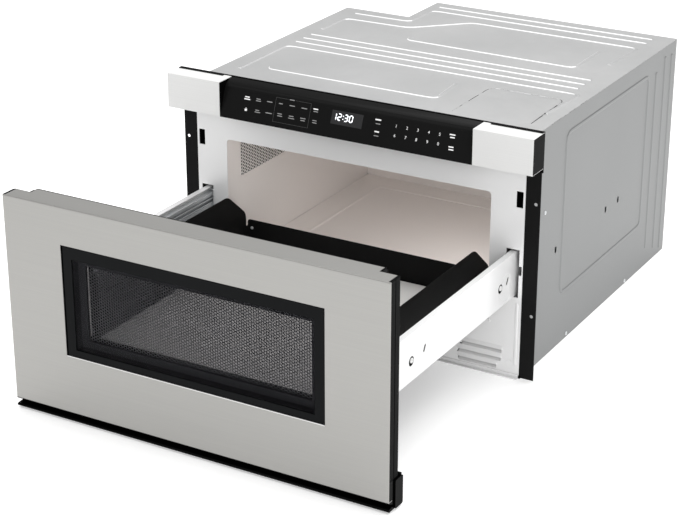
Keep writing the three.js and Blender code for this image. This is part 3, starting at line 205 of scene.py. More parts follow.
# gives a piece its look, from its slot's material unless a material is given, puts it on its body, and hides
# the nodes that it replaces
def dress(piece, body, slot, *nodes, material=None):
    piece.data.materials.clear()
    piece.data.materials.append(material or materials[slot])
    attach(piece, body)
    if nodes:
        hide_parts(*nodes)


# a merged copy of a CAD node, ready to be cut or rounded
def mergedCopy(node, name, dissolve=True):
    piece = bpy.data.objects.new(name, frame["nodes"][node].data.copy())
    bpy.context.scene.collection.objects.link(piece)
    enterEdit(piece)
    bpy.ops.mesh.select_all(action="SELECT")
    bpy.ops.mesh.remove_doubles(threshold=1e-6)
    if dissolve:
        bpy.ops.mesh.dissolve_limited(angle_limit=math.radians(0.5))
    leaveEdit()
    return piece


# a perforated sheet facing up, its middle at the origin: one six-sided cell with its hole, arrayed
# in staggered rows, inside a plain border
def addPerforatedSheet(name, size, border, pitch, hole, thickness):
    clearSelection()
    bpy.ops.mesh.primitive_circle_add(vertices=6, radius=pitch / math.sqrt(3) / 1000,
                                      fill_type="NGON")
    cells = bpy.context.active_object
    selectFaces(cells, lambda middle, normal: True)
    bpy.ops.mesh.inset(thickness=(pitch - hole) / 2000)
    bpy.ops.mesh.delete(type="FACE")
    leaveEdit()
    rise = pitch * math.sqrt(0.75)
    across = int(size[0] / pitch - 0.5)
    pairs = int(size[1] / rise / 2)
    for count, step in ((across, (pitch, 0, 0)), (2, (pitch / 2, rise, 0)), (pairs, (0, 2 * rise, 0))):
        applyModifier(cells, "ARRAY", count=count, use_relative_offset=False,
                      use_constant_offset=True, constant_offset_displace=Vector(step) / 1000,
                      use_merge_vertices=True, merge_threshold=1e-5)
    applyModifier(cells, "SOLIDIFY", thickness=thickness / 1000, offset=0)
    middle = ((across - 0.5) * pitch / 2, (2 * pairs - 1) * rise / 2)
    cells.data.transform(Matrix.Translation((-middle[0] / 1000, -middle[1] / 1000, 0)))
    half, face = (size[0] / 2, size[1] / 2), thickness / 2 + 0.05
    strips = [addBlock("strip", (x0, y0, -face), (x1, y1, face)) for x0, y0, x1, y1 in (
        (-half[0], -half[1], half[0], border - half[1]),
        (-half[0], half[1] - border, half[0], half[1]),
        (-half[0], border - half[1], border - half[0], half[1] - border),
        (half[0] - border, border - half[1], half[0], half[1] - border))]
    return joinPieces(name, [cells] + strips)


# materials

def linearColour(code):
    parts = [int(code[i:i + 2], 16) / 255 for i in (1, 3, 5)]
    return (*[c / 12.92 if c <= 0.04045 else ((c + 0.055) / 1.055) ** 2.4 for c in parts], 1)


# a colour may be given as its hexadecimal code
def setSocket(socket, value):
    socket.default_value = linearColour(value) if isinstance(value, str) else value


# an input that is given as a pair of node and output is linked, any other is set
def addNode(tree, kind, inputs=None, **settings):
    made = tree.nodes.new("ShaderNode" + kind)
    for key, value in settings.items():
        setattr(made, key, value)
    for key, value in (inputs or {}).items():
        if isinstance(value, tuple) and isinstance(value[0], bpy.types.Node):
            tree.links.new(value[0].outputs[value[1]], made.inputs[key])
        else:
            setSocket(made.inputs[key], value)
    return made


# patterns are passed on as pairs of node and output
def newMaterial(name, values=None):
    material = bpy.data.materials.new(name)
    material.use_nodes = True
    tree = material.node_tree
    for key, value in (values or {}).items():
        setSocket(tree.nodes["Principled BSDF"].inputs[key], value)
    addNode(tree, "TexCoord", name="where")
    return material, tree


# the place on the piece, which every pattern follows
def place(tree):
    return tree.nodes["where"], "Object"


def addNoise(tree, scale, detail=2.0, where=None):
    return addNode(tree, "TexNoise", {"Vector": where or place(tree), "Scale": scale,
                                      "Detail": detail}), "Fac"


# hairlines: noise that is stretched along one axis
def addHairlines(tree, stretch):
    lines = addNode(tree, "Mapping", {"Vector": place(tree), "Scale": stretch})
    return addNoise(tree, 1.0, 3.0, (lines, 0))


def addMath(tree, operation, *values):
    return addNode(tree, "Math", dict(enumerate(values)), operation=operation), 0


def addMix(tree, share, first, second):
    return addNode(tree, "Mix", {0: share, 6: first, 7: second}, data_type="RGBA"), 2


# 0 to 1 where a value runs from one limit to the other
def addRamp(tree, value, start, end):
    return addNode(tree, "MapRange", {"Value": value, "From Min": start, "From Max": end}), 0


# links a pattern to a socket of the material's shader
def feed(tree, socket, source):
    tree.links.new(source[0].outputs[source[1]], tree.nodes["Principled BSDF"].inputs[socket])
    return source


def setTones(tree, pattern, dim, pale):
    return feed(tree, "Base Color", addMix(tree, pattern, dim, pale))


def setRange(tree, pattern, low, high, socket="Roughness"):
    feed(tree, socket, (addNode(tree, "MapRange", {"Value": pattern, "To Min": low, "To Max": high}), 0))


# the height of a bump is in metres
def setBump(tree, pattern, strength, height):
    feed(tree, "Normal", (addNode(tree, "Bump", {"Height": pattern, "Strength": strength,
                                                 "Distance": height}), 0))


# a material made of noise: for each noise its scale and detail, and what it drives between which values
def makeNoisy(name, values, *patterns):
    material, tree = newMaterial(name, values)
    for scale, detail, drives in patterns:
        noise = addNoise(tree, scale, detail)
        for drive, (low, high) in drives.items():
            drive(tree, noise, low, high)
    return material


sheetMarks = {"crest": 0.37085, "ramp": 0.0004, "highlightFacing": (-0.45, -1.0, 0.0), "highlightFadeFrom": 0.228,
              "highlightFadeTo": 0.252, "seamHeight": 0.3702, "seamWidth": 0.0002, "seamRear": 0.2}


# zinc-coated sheet: a satin grey with faint cloudy crystals some 9 mm wide; the raised flanks of the pressed
# beads that face front and left carry a painted highlight, near white and less metallic, fading out towards
# the right end, and the cut seam of the access panel is dark in places
def makeGalvanised(name, dim, pale):
    m = sheetMarks
    material, tree = newMaterial(name, {"Metallic": 0.7, "Roughness": 0.42})
    crystals = addNode(tree, "TexVoronoi", {"Vector": place(tree), "Scale": 110.0})
    faint = addMath(tree, "MULTIPLY", (crystals, "Color"), 0.25)
    blend = addMath(tree, "ADD", addNoise(tree, 7.0, 3.0), faint)
    tone = addMix(tree, blend, dim, pale)
    axes = addNode(tree, "SeparateXYZ", {0: place(tree)})
    # painted highlight: where the sheet is raised and faces front and left, it is mixed to near white and
    # made less metallic, fading out towards the right
    raised = addRamp(tree, (axes, 2), m["crest"], m["crest"] + m["ramp"])
    facing = addNode(tree, "VectorMath", {0: (addNode(tree, "NewGeometry"), "True Normal"),
                                          1: m["highlightFacing"]}, operation="DOT_PRODUCT")
    near = addRamp(tree, (facing, "Value"), 0.1, 0.25)
    crest = addMath(tree, "MULTIPLY", raised, near)
    crest = addMath(tree, "MULTIPLY", crest, addRamp(tree, (axes, 0), m["highlightFadeTo"], m["highlightFadeFrom"]))
    bright = addMix(tree, crest, tone, "#fbfbfb")
    seam = addMath(tree, "COMPARE", (axes, 2), m["seamHeight"], m["seamWidth"])
    seam = addMath(tree, "MULTIPLY", seam, addRamp(tree, addNoise(tree, 75.0), 0.46, 0.52))
    seam = addMath(tree, "MULTIPLY", seam, addMath(tree, "LESS_THAN", (axes, 1), m["seamRear"]))
    feed(tree, "Base Color", addMix(tree, seam, bright, "#202020"))
    setRange(tree, crest, 0.7, 0.1, "Metallic")
    setRange(tree, blend, 0.36, 0.5)
    setBump(tree, addNoise(tree, 1600.0), 0.12, 0.0002)
    return material


# moulded ABS: black, with a spark-eroded grain of 0.5 mm
def makeBlackPlastic():
    material, tree = newMaterial("moulded_abs_black", {
        "Base Color": "#080808", "Roughness": 0.44, "IOR": 1.53,
        "Specular IOR Level": 0.02})
    grain = addNode(tree, "TexVoronoi", {"Vector": place(tree), "Scale": 1900.0})
    setBump(tree, (grain, "Distance"), 0.12, 0.00015)
    setRange(tree, addNoise(tree, 20.0), 0.38, 0.48)
    return material


# screen print on the glass, from white to faint grey: flat, slightly uneven in density; its emission is a
# painted glow that lifts the printed marks, while on the clock it is the segments' own light
def makePrint(name, bright, dim, glow):
    material, tree = newMaterial(name, {"Roughness": 0.5, "Emission Strength": glow})
    feed(tree, "Emission Color", setTones(tree, addNoise(tree, 700.0), dim, bright))
    return material


# tempered glass with a thin anti-glare coat, so that it mirrors the room only weakly; the tint
# counts once for each face that the light passes
def makeTintedGlass(name, tint, gloss, index):
    material, tree = newMaterial(name)
    tree.nodes.remove(tree.nodes["Principled BSDF"])
    bump = addNode(tree, "Bump", {"Height": addNoise(tree, 25.0, 1.0), "Strength": 0.02,
                                  "Distance": 0.0005})
    through = addNode(tree, "BsdfTransparent", {"Color": tint})
    mirror = addNode(tree, "BsdfGlossy", {"Color": gloss, "Roughness": 0.06,
                                          "Normal": (bump, 0)})
    fresnel = addNode(tree, "Fresnel", {"IOR": index, "Normal": (bump, 0)})
    coated = addRamp(tree, (fresnel, 0), 0.04, 1.0)
    both = addNode(tree, "MixShader", {0: coated, 1: (through, 0), 2: (mirror, 0)})
    tree.links.new(both.outputs[0], tree.nodes["Material Output"].inputs["Surface"])
    return material


# brushed stainless: hairlines half a millimetre apart along the sheet's length
def makeStainless(name, dim, bright, metal):
    material, tree = newMaterial(name, {"Metallic": metal, "Roughness": 0.36})
    hair = addHairlines(tree, (5.0, 1500.0, 1500.0))
    setTones(tree, hair, dim, bright)
    setRange(tree, hair, 0.27, 0.39)
    setBump(tree, hair, 0.06, 0.0001)
    return material


# bright zinc plate on rolled steel: blue-white, with drawing lines along the slide
def makeBrightZinc():
    material, tree = newMaterial("bright_zinc_plate", {"Metallic": 0.35, "Roughness": 0.3})
    hair = addHairlines(tree, (900.0, 6.0, 900.0))
    setTones(tree, hair, "#d2d5d7", "#e6e8e9")
    setRange(tree, hair, 0.24, 0.42)
    setBump(tree, hair, 0.08, 0.0001)
    return material


# circuit board: green solder mask over copper tracks 1.5 mm wide
def makeCircuitBoard():
    material, tree = newMaterial("solder_mask_green", {"Roughness": 0.35})
    tracks = addNode(tree, "TexBrick", {
        "Vector": place(tree), "Scale": 110.0, "Color1": "#2c6241",
        "Color2": "#27583a", "Mortar": "#3b7a52", "Mortar Size": 0.06})
    feed(tree, "Base Color", (tracks, 0))
    return material


# die-cast and laminated steel: dull grey with 0.5 mm laminations
def makeCastMetal():
    material, tree = newMaterial("die_cast_and_laminations", {"Metallic": 0.85, "Roughness": 0.5})
    sheets = addNode(tree, "TexWave", {"Vector": place(tree), "Scale": 300.0, "Distortion": 0.4},
                     bands_direction="Y")
    setTones(tree, (sheets, "Fac"), "#777a7d", "#9b9ea0")
    setBump(tree, addNoise(tree, 900.0, 3.0), 0.2, 0.0002)
    return material


materials = {
    "galvanised_steel": makeGalvanised("galvanised_sheet", "#babbbb", "#c4c4c4"),
    # gloss white enamel on steel: clean white with a very soft orange peel of 3 mm
    "white_enamel": makeNoisy("white_enamel", {
        "Base Color": "#ebebeb", "Roughness": 0.28, "IOR": 1.52, "Coat Weight": 0.25,
        "Coat Roughness": 0.12},
        (330.0, 1.5, {setBump: (0.1, 0.0003)}), (9.0, 2.0, {setRange: (0.24, 0.34)})),
    # warm grey cavity enamel: fired on steel, softly clouded, with an orange peel of 3 mm
    "cavity_enamel": makeNoisy("warm_grey_enamel", {"Roughness": 0.36, "IOR": 1.5, "Coat Weight": 0.15},
        (5.0, 2.0, {setTones: ("#f4f1ee", "#faf2ee")}), (300.0, 1.5, {setBump: (0.12, 0.0003)})),
    # black powder coat: deep satin black with a fine even texture of 0.7 mm
    "black_enamel": makeNoisy("black_powder_coat", {
        "Base Color": "#1a1a1a", "Roughness": 0.46, "IOR": 1.5, "Specular IOR Level": 0.03},
        (1400.0, 2.0, {setBump: (0.16, 0.0002), setRange: (0.4, 0.54)})),
    "black_plastic": makeBlackPlastic(),
    # polished ABS: near-mirror black with faint waviness from the mould
    "gloss_black_plastic": makeNoisy("polished_abs_black", {
        "Base Color": "#050505", "Roughness": 0.1, "IOR": 1.54, "Specular IOR Level": 0.02},
        (60.0, 1.0, {setBump: (0.04, 0.0004), setRange: (0.07, 0.14)})),
    # touch glass printed black on its back: smooth, glossy, a shade softer than a mirror
    "black_glass": makeNoisy("back_printed_glass", {
        "Base Color": "#171717", "Roughness": 0.16, "IOR": 1.5, "Specular IOR Level": 0.05},
        (12.0, 3.0, {setRange: (0.13, 0.2)})),
    "tinted_glass": makeTintedGlass("tinted_window_glass", "#e2e2e4", "#808080", 1.28),
    "clear_glass": makeTintedGlass("clear_inner_glass", "#dad9d8", "#ffffff", 1.4),
    "stainless_steel": makeStainless("brushed_stainless", "#9e9d9a", "#a9a8a5", 0.7),
    # mid grey coat on the perforated steel: matt, with a fine dry texture of 0.6 mm
    "screen_steel": makeNoisy("coated_screen_steel", {"Metallic": 0.15, "Roughness": 0.5},
        (1600.0, 2.0, {setTones: ("#6a6a6a", "#747474"), setBump: (0.1, 0.0001)})),
    # glass ceramic: opaque light grey, smooth, with fine specks 0.4 mm across
    "ceramic_glass": makeNoisy("glass_ceramic_shelf", {"Roughness": 0.2, "IOR": 1.52},
        (2200.0, 2.0, {setTones: ("#e4e3e1", "#f0efed")})),
    "slide_steel": makeBrightZinc(),
    # acetal: milky white, waxy, with light going a little way in
    "white_plastic": makeNoisy("natural_acetal", {
        "Base Color": "#e9e6de", "Roughness": 0.38, "IOR": 1.48, "Subsurface Weight": 0.15,
        "Subsurface Scale": 0.002},
        (90.0, 2.0, {setTones: ("#e5e2da", "#edeae3"), setRange: (0.33, 0.46)})),
    "circuit_board": makeCircuitBoard(),
    "motor_casting": makeCastMetal(),
}
# the same zinc sheet in darker tones for the side panels: painted shade, for sides that face away from the
# lights
shadedSideSheet = makeGalvanised("galvanised_side_sheet_painted_shade", "#858686", "#8f9090")
capSteel = makeStainless("satin_lacquered_steel", "#e2e2e1", "#eaeae9", 0.0)
# clock filter: a smoky window a little lighter than the glass round it
clockFilter = makeNoisy("smoked_clock_filter", {
    "Roughness": 0.2, "IOR": 1.49, "Specular IOR Level": 0.25},
    (500.0, 1.0, {setTones: ("#2a2a2b", "#303031")}))
# glass over a fired black print: deep black with the weak mirror of its anti-glare coat
windowPrint = makeNoisy("fired_black_print", {
    "Roughness": 0.22, "IOR": 1.5, "Specular IOR Level": 0.05},
    (8.0, 2.0, {setTones: ("#0f1011", "#151617")}))
# pressed felt that lines the recess between window and screen: dark grey fibres, quite matt
windowFelt = makeNoisy("pressed_felt", {"Roughness": 0.9, "IOR": 1.45},
    (1200.0, 4.0, {setTones: ("#444445", "#505051"), setBump: (0.3, 0.0003)}))
# the key prints carry a painted glow: their emission brightens them, though nothing lights them from behind
brightPrint = makePrint("bright_screen_print", "#f2f2f2", "#dcdcdc", 0.25)
softPrint = makePrint("soft_screen_print", "#a0a0a0", "#8a8a8a", 0.08)
faintPrint = makePrint("faint_screen_print", "#565656", "#4a4a4a", 0.02)
clockGlow = makePrint("clock_segments", "#ffffff", "#f2f6ff", 1.6)
for node, piece in frame["nodes"].items():
    for holder in piece.material_slots:
        holder.material = materials[slotOf[node]]
frame["nodes"]["clock_window"].material_slots[0].material = clockFilter
print("materials made:", len(bpy.data.materials))


# CAD pieces whose form is right get rounded edges: width, and the angle that counts as sharp;
# a name that ends in _ stands for the right and the left piece
roundedNodes = {
    "top_panel": (0.35, 15), "side_panel_": (0.35, 15), "rear_panel": (0.3, 30),
    "corner_panel": (0.3, 30), "base_pan": (0.3, 30), "mounting_flange_": (0.25, 30),
    "cavity_floor": (0.3, 15), "cord_gland": (0.5, 30), "panel_housing": (0.4, 30),
    "panel_glass": (0.35, 30), "choke_frame": (0.35, 30), "choke_cover": (0.5, 30),
    "door_pull": (0.6, 30, True), "slide_fixed_": (0.3, 30), "slide_drawer_": (0.3, 30),
    "tray_side_": (0.35, 30), "tray_pan": (0.35, 30), "tray_glass": (0.8, 30),
    "latch_hook_": (0.3, 40), "interlock_switch_": (0.5, 30), "slide_bracket_": (0.25, 40),
    "drive_motor": (0.7, 40), "drive_rack": (0.15, 40), "drive_pinion": (0.15, 40),
    "fan_shroud": (0.4, 40), "fan_wheel": (0.25, 40), "fan_motor": (0.8, 40),
    "stirrer_motor": (0.6, 40), "stirrer_cover": (0.6, 40), "waveguide": (0.3, 30),
    "magnetron": (0.3, 40), "power_transformer": (0.6, 40), "high_voltage_capacitor": (0.8, 50),
    "oven_lamp": (0.5, 40), "control_board": (0.2, 40), "power_board": (0.2, 40),
}
for stem, (width, angle, *clamp) in roundedNodes.items():
    for node in [stem + side for side in ("right", "left")] if stem.endswith("_") else [stem]:
        piece = mergedCopy(node, node + "_finished")
        roundEdges(piece, width, 2, angle, bool(clamp))
        dress(piece, bodyOf[node], slotOf[node], node,
              material=shadedSideSheet if stem == "side_panel_" else None)
print("rounded copies made:", len(roundedNodes))


# cavity wrap with the perforated vent of its left wall, and the screen behind the door's window;
# the screen's pattern is drawn coarser than the real one (about 3.5 mm), so that its holes still show
vent = {"wall": -224.7, "y": (33.5, 205), "z": (206.5, 268), "border": 3.4, "pitch": 5.2, "hole": 3.9,
        "thickness": 0.7, "rounding": 0.35, "play": 0.1}
duct = {"back": -238.0, "mouth": -226.2, "sheet": 0.8, "rounding": 0.2}
screen = {"size": (124.7, 366.8), "centre": (0, -415.55, 181.25), "border": 2.0, "pitch": 4.4,
          "hole": 3.3, "thickness": 0.6}


def makePerforatedSheets():
    v = vent
    (near, far), (low, high) = v["y"], v["z"]
    wrap = mergedCopy("cavity_wrap", "cavity_wrap_shell")
    roundEdges(wrap, v["rounding"])
    cutWith(wrap, addBlock("opening", (v["wall"] - 2, near, low), (v["wall"] + 2, far, high)))
    dress(wrap, "case", "cavity_enamel", "cavity_wrap")
    # the rows of holes stand upright
    size = (high - low - v["play"], far - near - v["play"])
    sheet = addPerforatedSheet("cavity_vent", size, v["border"], v["pitch"], v["hole"], v["thickness"])
    middle = Vector((v["wall"], (near + far) / 2, (low + high) / 2)) / 1000
    sheet.data.transform(Matrix.Translation(middle) @ Matrix(((0, 0, -1), (0, 1, 0), (1, 0, 0))).to_4x4())
    dress(sheet, "case", "cavity_enamel")
    # air duct behind the vent, open towards it; it is black so that the holes read dark: painted shade for
    # the darkness inside the case
    d = duct
    box = addBlock("vent_duct_painted_shade", (d["back"], near, low), (d["mouth"], far, high))
    cutWith(box, addBlock("hollow", (d["back"] + d["sheet"], near + d["sheet"], low + d["sheet"]),
                          (d["mouth"] + 1, far - d["sheet"], high - d["sheet"])))
    roundEdges(box, d["rounding"])
    dress(box, "case", "black_plastic")
    s = screen
    mesh = addPerforatedSheet("window_screen_mesh", s["size"], s["border"], s["pitch"], s["hole"],
                              s["thickness"])
    mesh.data.transform(Matrix.Translation(Vector(s["centre"]) / 1000)
                        @ Matrix(((0, 1, 0), (0, 0, 1), (1, 0, 0))).to_4x4())
    dress(mesh, "drawer", "screen_steel", "window_screen")


makePerforatedSheets()
print("perforated sheets made")


# corner caps: folded stainless blocks whose outer end is closed by a black plate
cap = {"outer": 303.2, "pocket": 0.5, "border": 0.4, "play": 0.1, "front": -38.75, "rear": -3.8,
       "bottom": 332.0, "top": 385.4, "rounding": 0.5, "plateRounding": 0.2}
gasket = {"inner": 223.0, "outer": 302.8, "front": -9.0, "rear": -3.9, "crest": 386.4, "rounding": 0.2}


def makeCaps():
    c, g = cap, gasket
    pocket = c["outer"] - c["pocket"]
    low = (c["front"] + c["border"], c["bottom"] + c["border"])
    high = (c["rear"] - c["border"], c["top"] - c["border"])
    for name, turn in (("right", 1), ("left", -1)):
        piece = mergedCopy("corner_cap_" + name, "corner_cap_shell_" + name)
        near, far = sorted((turn * pocket, turn * (c["outer"] + 1)))
        cutWith(piece, addBlock("pocket", (near, *low), (far, *high)))
        roundEdges(piece, c["rounding"], clamp=True)
        dress(piece, "case", "stainless_steel", "corner_cap_" + name, material=capSteel)
        near, far = sorted((turn * pocket, turn * (c["outer"] - c["play"])))
        plate = addBlock("cap_end_" + name, (near, low[0] + c["play"], low[1] + c["play"]),
                         (far, high[0] - c["play"], high[1] - c["play"]))
        roundEdges(plate, c["plateRounding"])
        dress(plate, "case", "black_plastic")
        # black gasket that closes the gap to the cabinet, along the back of the cap
        near, far = sorted((turn * g["outer"], turn * g["inner"]))
        strip = addBlock("cap_gasket_" + name, (near, g["front"], c["top"]), (far, g["rear"], g["crest"]))
        roundEdges(strip, g["rounding"])
        dress(strip, "case", "black_plastic")


makeCaps()


# door skin: one stainless sheet; its top bend and its cut edges are rounded to catch the light
doorSkin = {"front": -435.75, "top": 322.8, "bend": 2.5, "cut": 0.5, "rounding": 0.12}


def makeDoorSkin():
    d = doorSkin
    piece = mergedCopy("door_skin", "door_skin_sheet")
    for low, high, width in ((d["top"] - 0.1, d["top"] + 0.1, d["bend"]), (0, d["top"] - 0.1, d["cut"])):
        bevelEdges(piece, lambda middle, run: abs(middle.y - d["front"]) < 0.05 and
                   low < middle.z < high, width, 4)
    roundEdges(piece, d["rounding"], 1, 50, True)
    dress(piece, "drawer", "stainless_steel", "door_skin")


makeDoorSkin()


# door frame: the moulding with the joint line of its end caps
doorFrame = {"end": 299, "line": (-424.1, -422.9), "lineDepth": 0.7, "bottom": 41, "top": 327,
             "rounding": 0.5}


def makeDoorFrame():
    d = doorFrame
    front, back = d["line"]
    piece = mergedCopy("door_frame", "door_frame_moulding")
    cutWith(piece, *[addBlock("groove", (end - d["lineDepth"], front, d["bottom"]),
                              (end + d["lineDepth"], back, d["top"])) for end in (-d["end"], d["end"])])
    roundEdges(piece, d["rounding"])
    dress(piece, "drawer", "black_plastic", "door_frame")


makeDoorFrame()


# window: one chamfered pane, whose printed black margin and clear middle are modelled apart
window = {"outside": (-204.0, 103.2, 204.0, 266.4), "clear": (-189.5, 114.4, 189.5, 248.6),
          "front": -433.9, "thickness": 2.45, "chamfer": 0.8, "play": 0.15}
felt = {"outside": (-189.9, 114.1, 189.9, 248.9), "inside": (-178.0, 124.7, 178.0, 237.8),
        "front": -431.3, "ledge": -419.3, "screen": -416.0, "thickness": 0.8, "wall": 0.6, "overlap": 0.1}
hemHighlight = {"side": 204.9, "bottom": 103.0, "axis": -435.0, "radius": 0.74}


# the sides of a frame, moved inward
def inset(sides, width):
    left, low, right, high = sides
    return (left + width, low + width, right - width, high - width)


def makeWindow():
    w = window
    back = w["front"] + w["thickness"]
    left, low, right, high = w["clear"]
    margin = addFrame("window_margin", w["outside"], w["clear"], w["front"], back)
    bevelEdges(margin, lambda middle, run: abs(middle.y - w["front"]) < 0.1 and
               not (abs(middle.x) < right + 1 and low - 1 < middle.z < high + 1),
               w["chamfer"], 2, profile=0.6)
    dress(margin, "drawer", "black_glass", "window_glass", material=windowPrint)
    left, low, right, high = inset(w["clear"], w["play"])
    pane = addBlock("window_pane", (left, w["front"] + w["play"], low), (right, back - w["play"], high))
    roundEdges(pane, w["play"] / 2, 1)
    dress(pane, "drawer", "tinted_glass", "window_glass")
    # felt that lines the recess behind the pane: its wall, its ledge, and the step down to the screen
    f = felt
    sheet = f["ledge"] - f["thickness"]
    lining = [addFrame("ring", f["outside"], inset(f["outside"], f["wall"]), f["front"], f["ledge"]),
              addFrame("ring", f["outside"], f["inside"], sheet, f["ledge"]),
              addFrame("ring", inset(f["inside"], -f["overlap"]), inset(f["inside"], f["wall"]),
                       sheet, f["screen"])]
    dress(joinPieces("window_felt", lining), "drawer", "black_plastic", material=windowFelt)
    # pale rod along the foot of the cut-out, in the caps' white lacquer rather than the skin's stainless: a
    # painted highlight where the edge of the cut-out catches the light
    h = hemHighlight
    bead = addRod("window_hem_highlight", h["radius"], (-h["side"], h["axis"], h["bottom"]),
                  (h["side"], h["axis"], h["bottom"]), 16)
    smoothByAngle(bead, 40)
    dress(bead, "drawer", "stainless_steel", material=capSteel)


makeWindow()


# control panel: numerals, short bars in place of words, a padlock and a clock, all set on the slope
panelSlope = {"foot": (-38.75, 332.0), "crease": (-20.75, 380.4), "inkHeight": 0.05}


# carries a flat mark, drawn in metres round the origin, to a place on the slope
def slopeMatrix(x, up, lift=0.0):
    foot = Vector((0, *panelSlope["foot"]))
    along = (Vector((0, *panelSlope["crease"])) - foot).normalized()
    out = Vector((1, 0, 0)).cross(along)
    place = (foot + along * up + out * lift) / 1000
    place.x = x / 1000
    turn = Matrix(((1, 0, 0), (0, along.y, out.y), (0, along.z, out.z))).to_4x4()
    return Matrix.Translation(place) @ turn


def addBar(x, up, length, height):
    half = (length / 2, height / 2)
    bar = addBlock("bar", (-half[0], -half[1], 0), (half[0], half[1], panelSlope["inkHeight"]))
    bevelEdges(bar, lambda middle, run: abs(run.z) > 0.9, min(half) * 0.7, 3)
    bar.data.transform(slopeMatrix(x, up))
    return bar


def addNumeral(text, x, up, size):
    clearSelection()
    bpy.ops.object.text_add(location=(0, 0, 0))
    letter = bpy.context.active_object
    letter.data.body = text
    letter.data.size = size / 1000
    letter.data.align_x = "CENTER"
    letter.data.align_y = "CENTER"
    letter.data.extrude = panelSlope["inkHeight"] / 2000
    makeActive(letter)
    bpy.ops.object.convert(target="MESH")
    letter = bpy.context.active_object
    letter.data.transform(slopeMatrix(x, up, panelSlope["inkHeight"] / 2))
    return letter


# each mark: middle across and up the slope, length and height
keys = {
    "columns": (83.4, 101.0, 118.3, 135.8, 153.1), "rows": (33.7, 20.0), "numeralSize": 6.2,
    "bright": [(-168.3, 36.3, 8.0, 1.7), (-168.0, 33.0, 10.5, 1.7), (-50.4, 36.8, 8.2, 1.7),
               (53.4, 38.2, 9.6, 2.0), (54.2, 21.0, 7.6, 2.0),
               (172.8, 36.5, 9.0, 1.7), (173.4, 32.6, 7.4, 1.7), (173.8, 19.2, 8.0, 1.7),
               (174.4, 15.4, 8.0, 1.7)],
    "soft": [(-148.8, 36.0, 7.2, 1.2), (-148.4, 33.2, 8.6, 1.2), (-129.1, 35.0, 9.4, 1.3),
             (-147.6, 19.4, 6.8, 1.2), (-146.9, 16.6, 9.4, 1.2), (-127.7, 18.4, 11.0, 1.3),
             (-110.0, 35.4, 6.6, 1.3), (-90.3, 35.2, 9.2, 1.3), (-69.4, 34.8, 9.8, 1.3),
             (-109.0, 20.4, 7.6, 1.2), (-108.4, 17.2, 8.4, 1.2), (-89.0, 20.0, 8.0, 1.2),
             (-88.4, 16.8, 10.2, 1.2), (-69.2, 20.0, 9.2, 1.2), (-68.8, 16.8, 7.6, 1.2),
             (-49.8, 33.2, 7.6, 1.2), (-49.3, 20.0, 6.8, 1.2), (-48.9, 16.8, 7.4, 1.2),
             (54.0, 32.4, 7.8, 1.2), (54.2, 15.0, 7.8, 1.2), (-91.9, 43.6, 8.4, 1.2)],
    "outline": {"left": -119.0, "right": -59.0, "bottom": 7.6, "top": 43.6, "line": 0.35,
                "gap": (-98, -86)},
}
padlock = {"x": -167.4, "body": 17.0, "size": (4.2, 3.2), "shackle": 18.7, "bend": 1.25, "wire": 0.28}


def makeKeys():
    k = keys
    numerals = [addNumeral(text, k["columns"][i % 5], k["rows"][i // 5], k["numeralSize"])
                for i, text in enumerate("1234567890")]
    dress(joinPieces("key_numerals", numerals), "case", "white_plastic", material=brightPrint)
    bright = [addBar(*bar) for bar in k["bright"]]
    # padlock: a body and a bent shackle
    p = padlock
    body = addBar(p["x"], p["body"], *p["size"])
    clearSelection()
    bpy.ops.mesh.primitive_torus_add(major_radius=p["bend"] / 1000, minor_radius=p["wire"] / 1000,
                                     major_segments=20, minor_segments=6)
    shackle = bpy.context.active_object
    selectFaces(shackle, lambda middle, normal: middle.y < -0.2)
    bpy.ops.mesh.delete(type="FACE")
    leaveEdit()
    shackle.data.transform(slopeMatrix(p["x"], p["shackle"], 0.02) @ Matrix.Diagonal((1, 1, 0.1, 1)))
    dress(joinPieces("key_marks_bright", bright + [body, shackle]), "case", "white_plastic",
          material=brightPrint)
    soft = [addBar(*bar) for bar in k["soft"]]
    dress(joinPieces("key_marks_soft", soft), "case", "white_plastic", material=softPrint)
    o = k["outline"]
    mid = ((o["left"] + o["right"]) / 2, (o["bottom"] + o["top"]) / 2)
    size = (o["right"] - o["left"], o["top"] - o["bottom"])
    lines = [addBar(mid[0], o["bottom"], size[0], o["line"]),
             addBar(o["left"], mid[1], o["line"], size[1]),
             addBar(o["right"], mid[1], o["line"], size[1]),
             addBar((o["left"] + o["gap"][0]) / 2, o["top"], o["gap"][0] - o["left"], o["line"]),
             addBar((o["gap"][1] + o["right"]) / 2, o["top"], o["right"] - o["gap"][1], o["line"])]
    dress(joinPieces("key_outline", lines), "case", "white_plastic", material=faintPrint)


makeKeys()


# clock: seven-segment digits that lean a little, and a colon
clock = {"starts": (-17.6, -9.4, 1.4, 9.6), "text": "1230", "middle": 31.8, "height": 9.2,
         "width": 5.0, "stroke": 1.3, "lean": 0.06, "colon": -3.4, "dot": 1.4, "dotReach": 2.2}
segmentsOf = {"0": "abcdef", "1": "bc", "2": "abged", "3": "abgcd"}


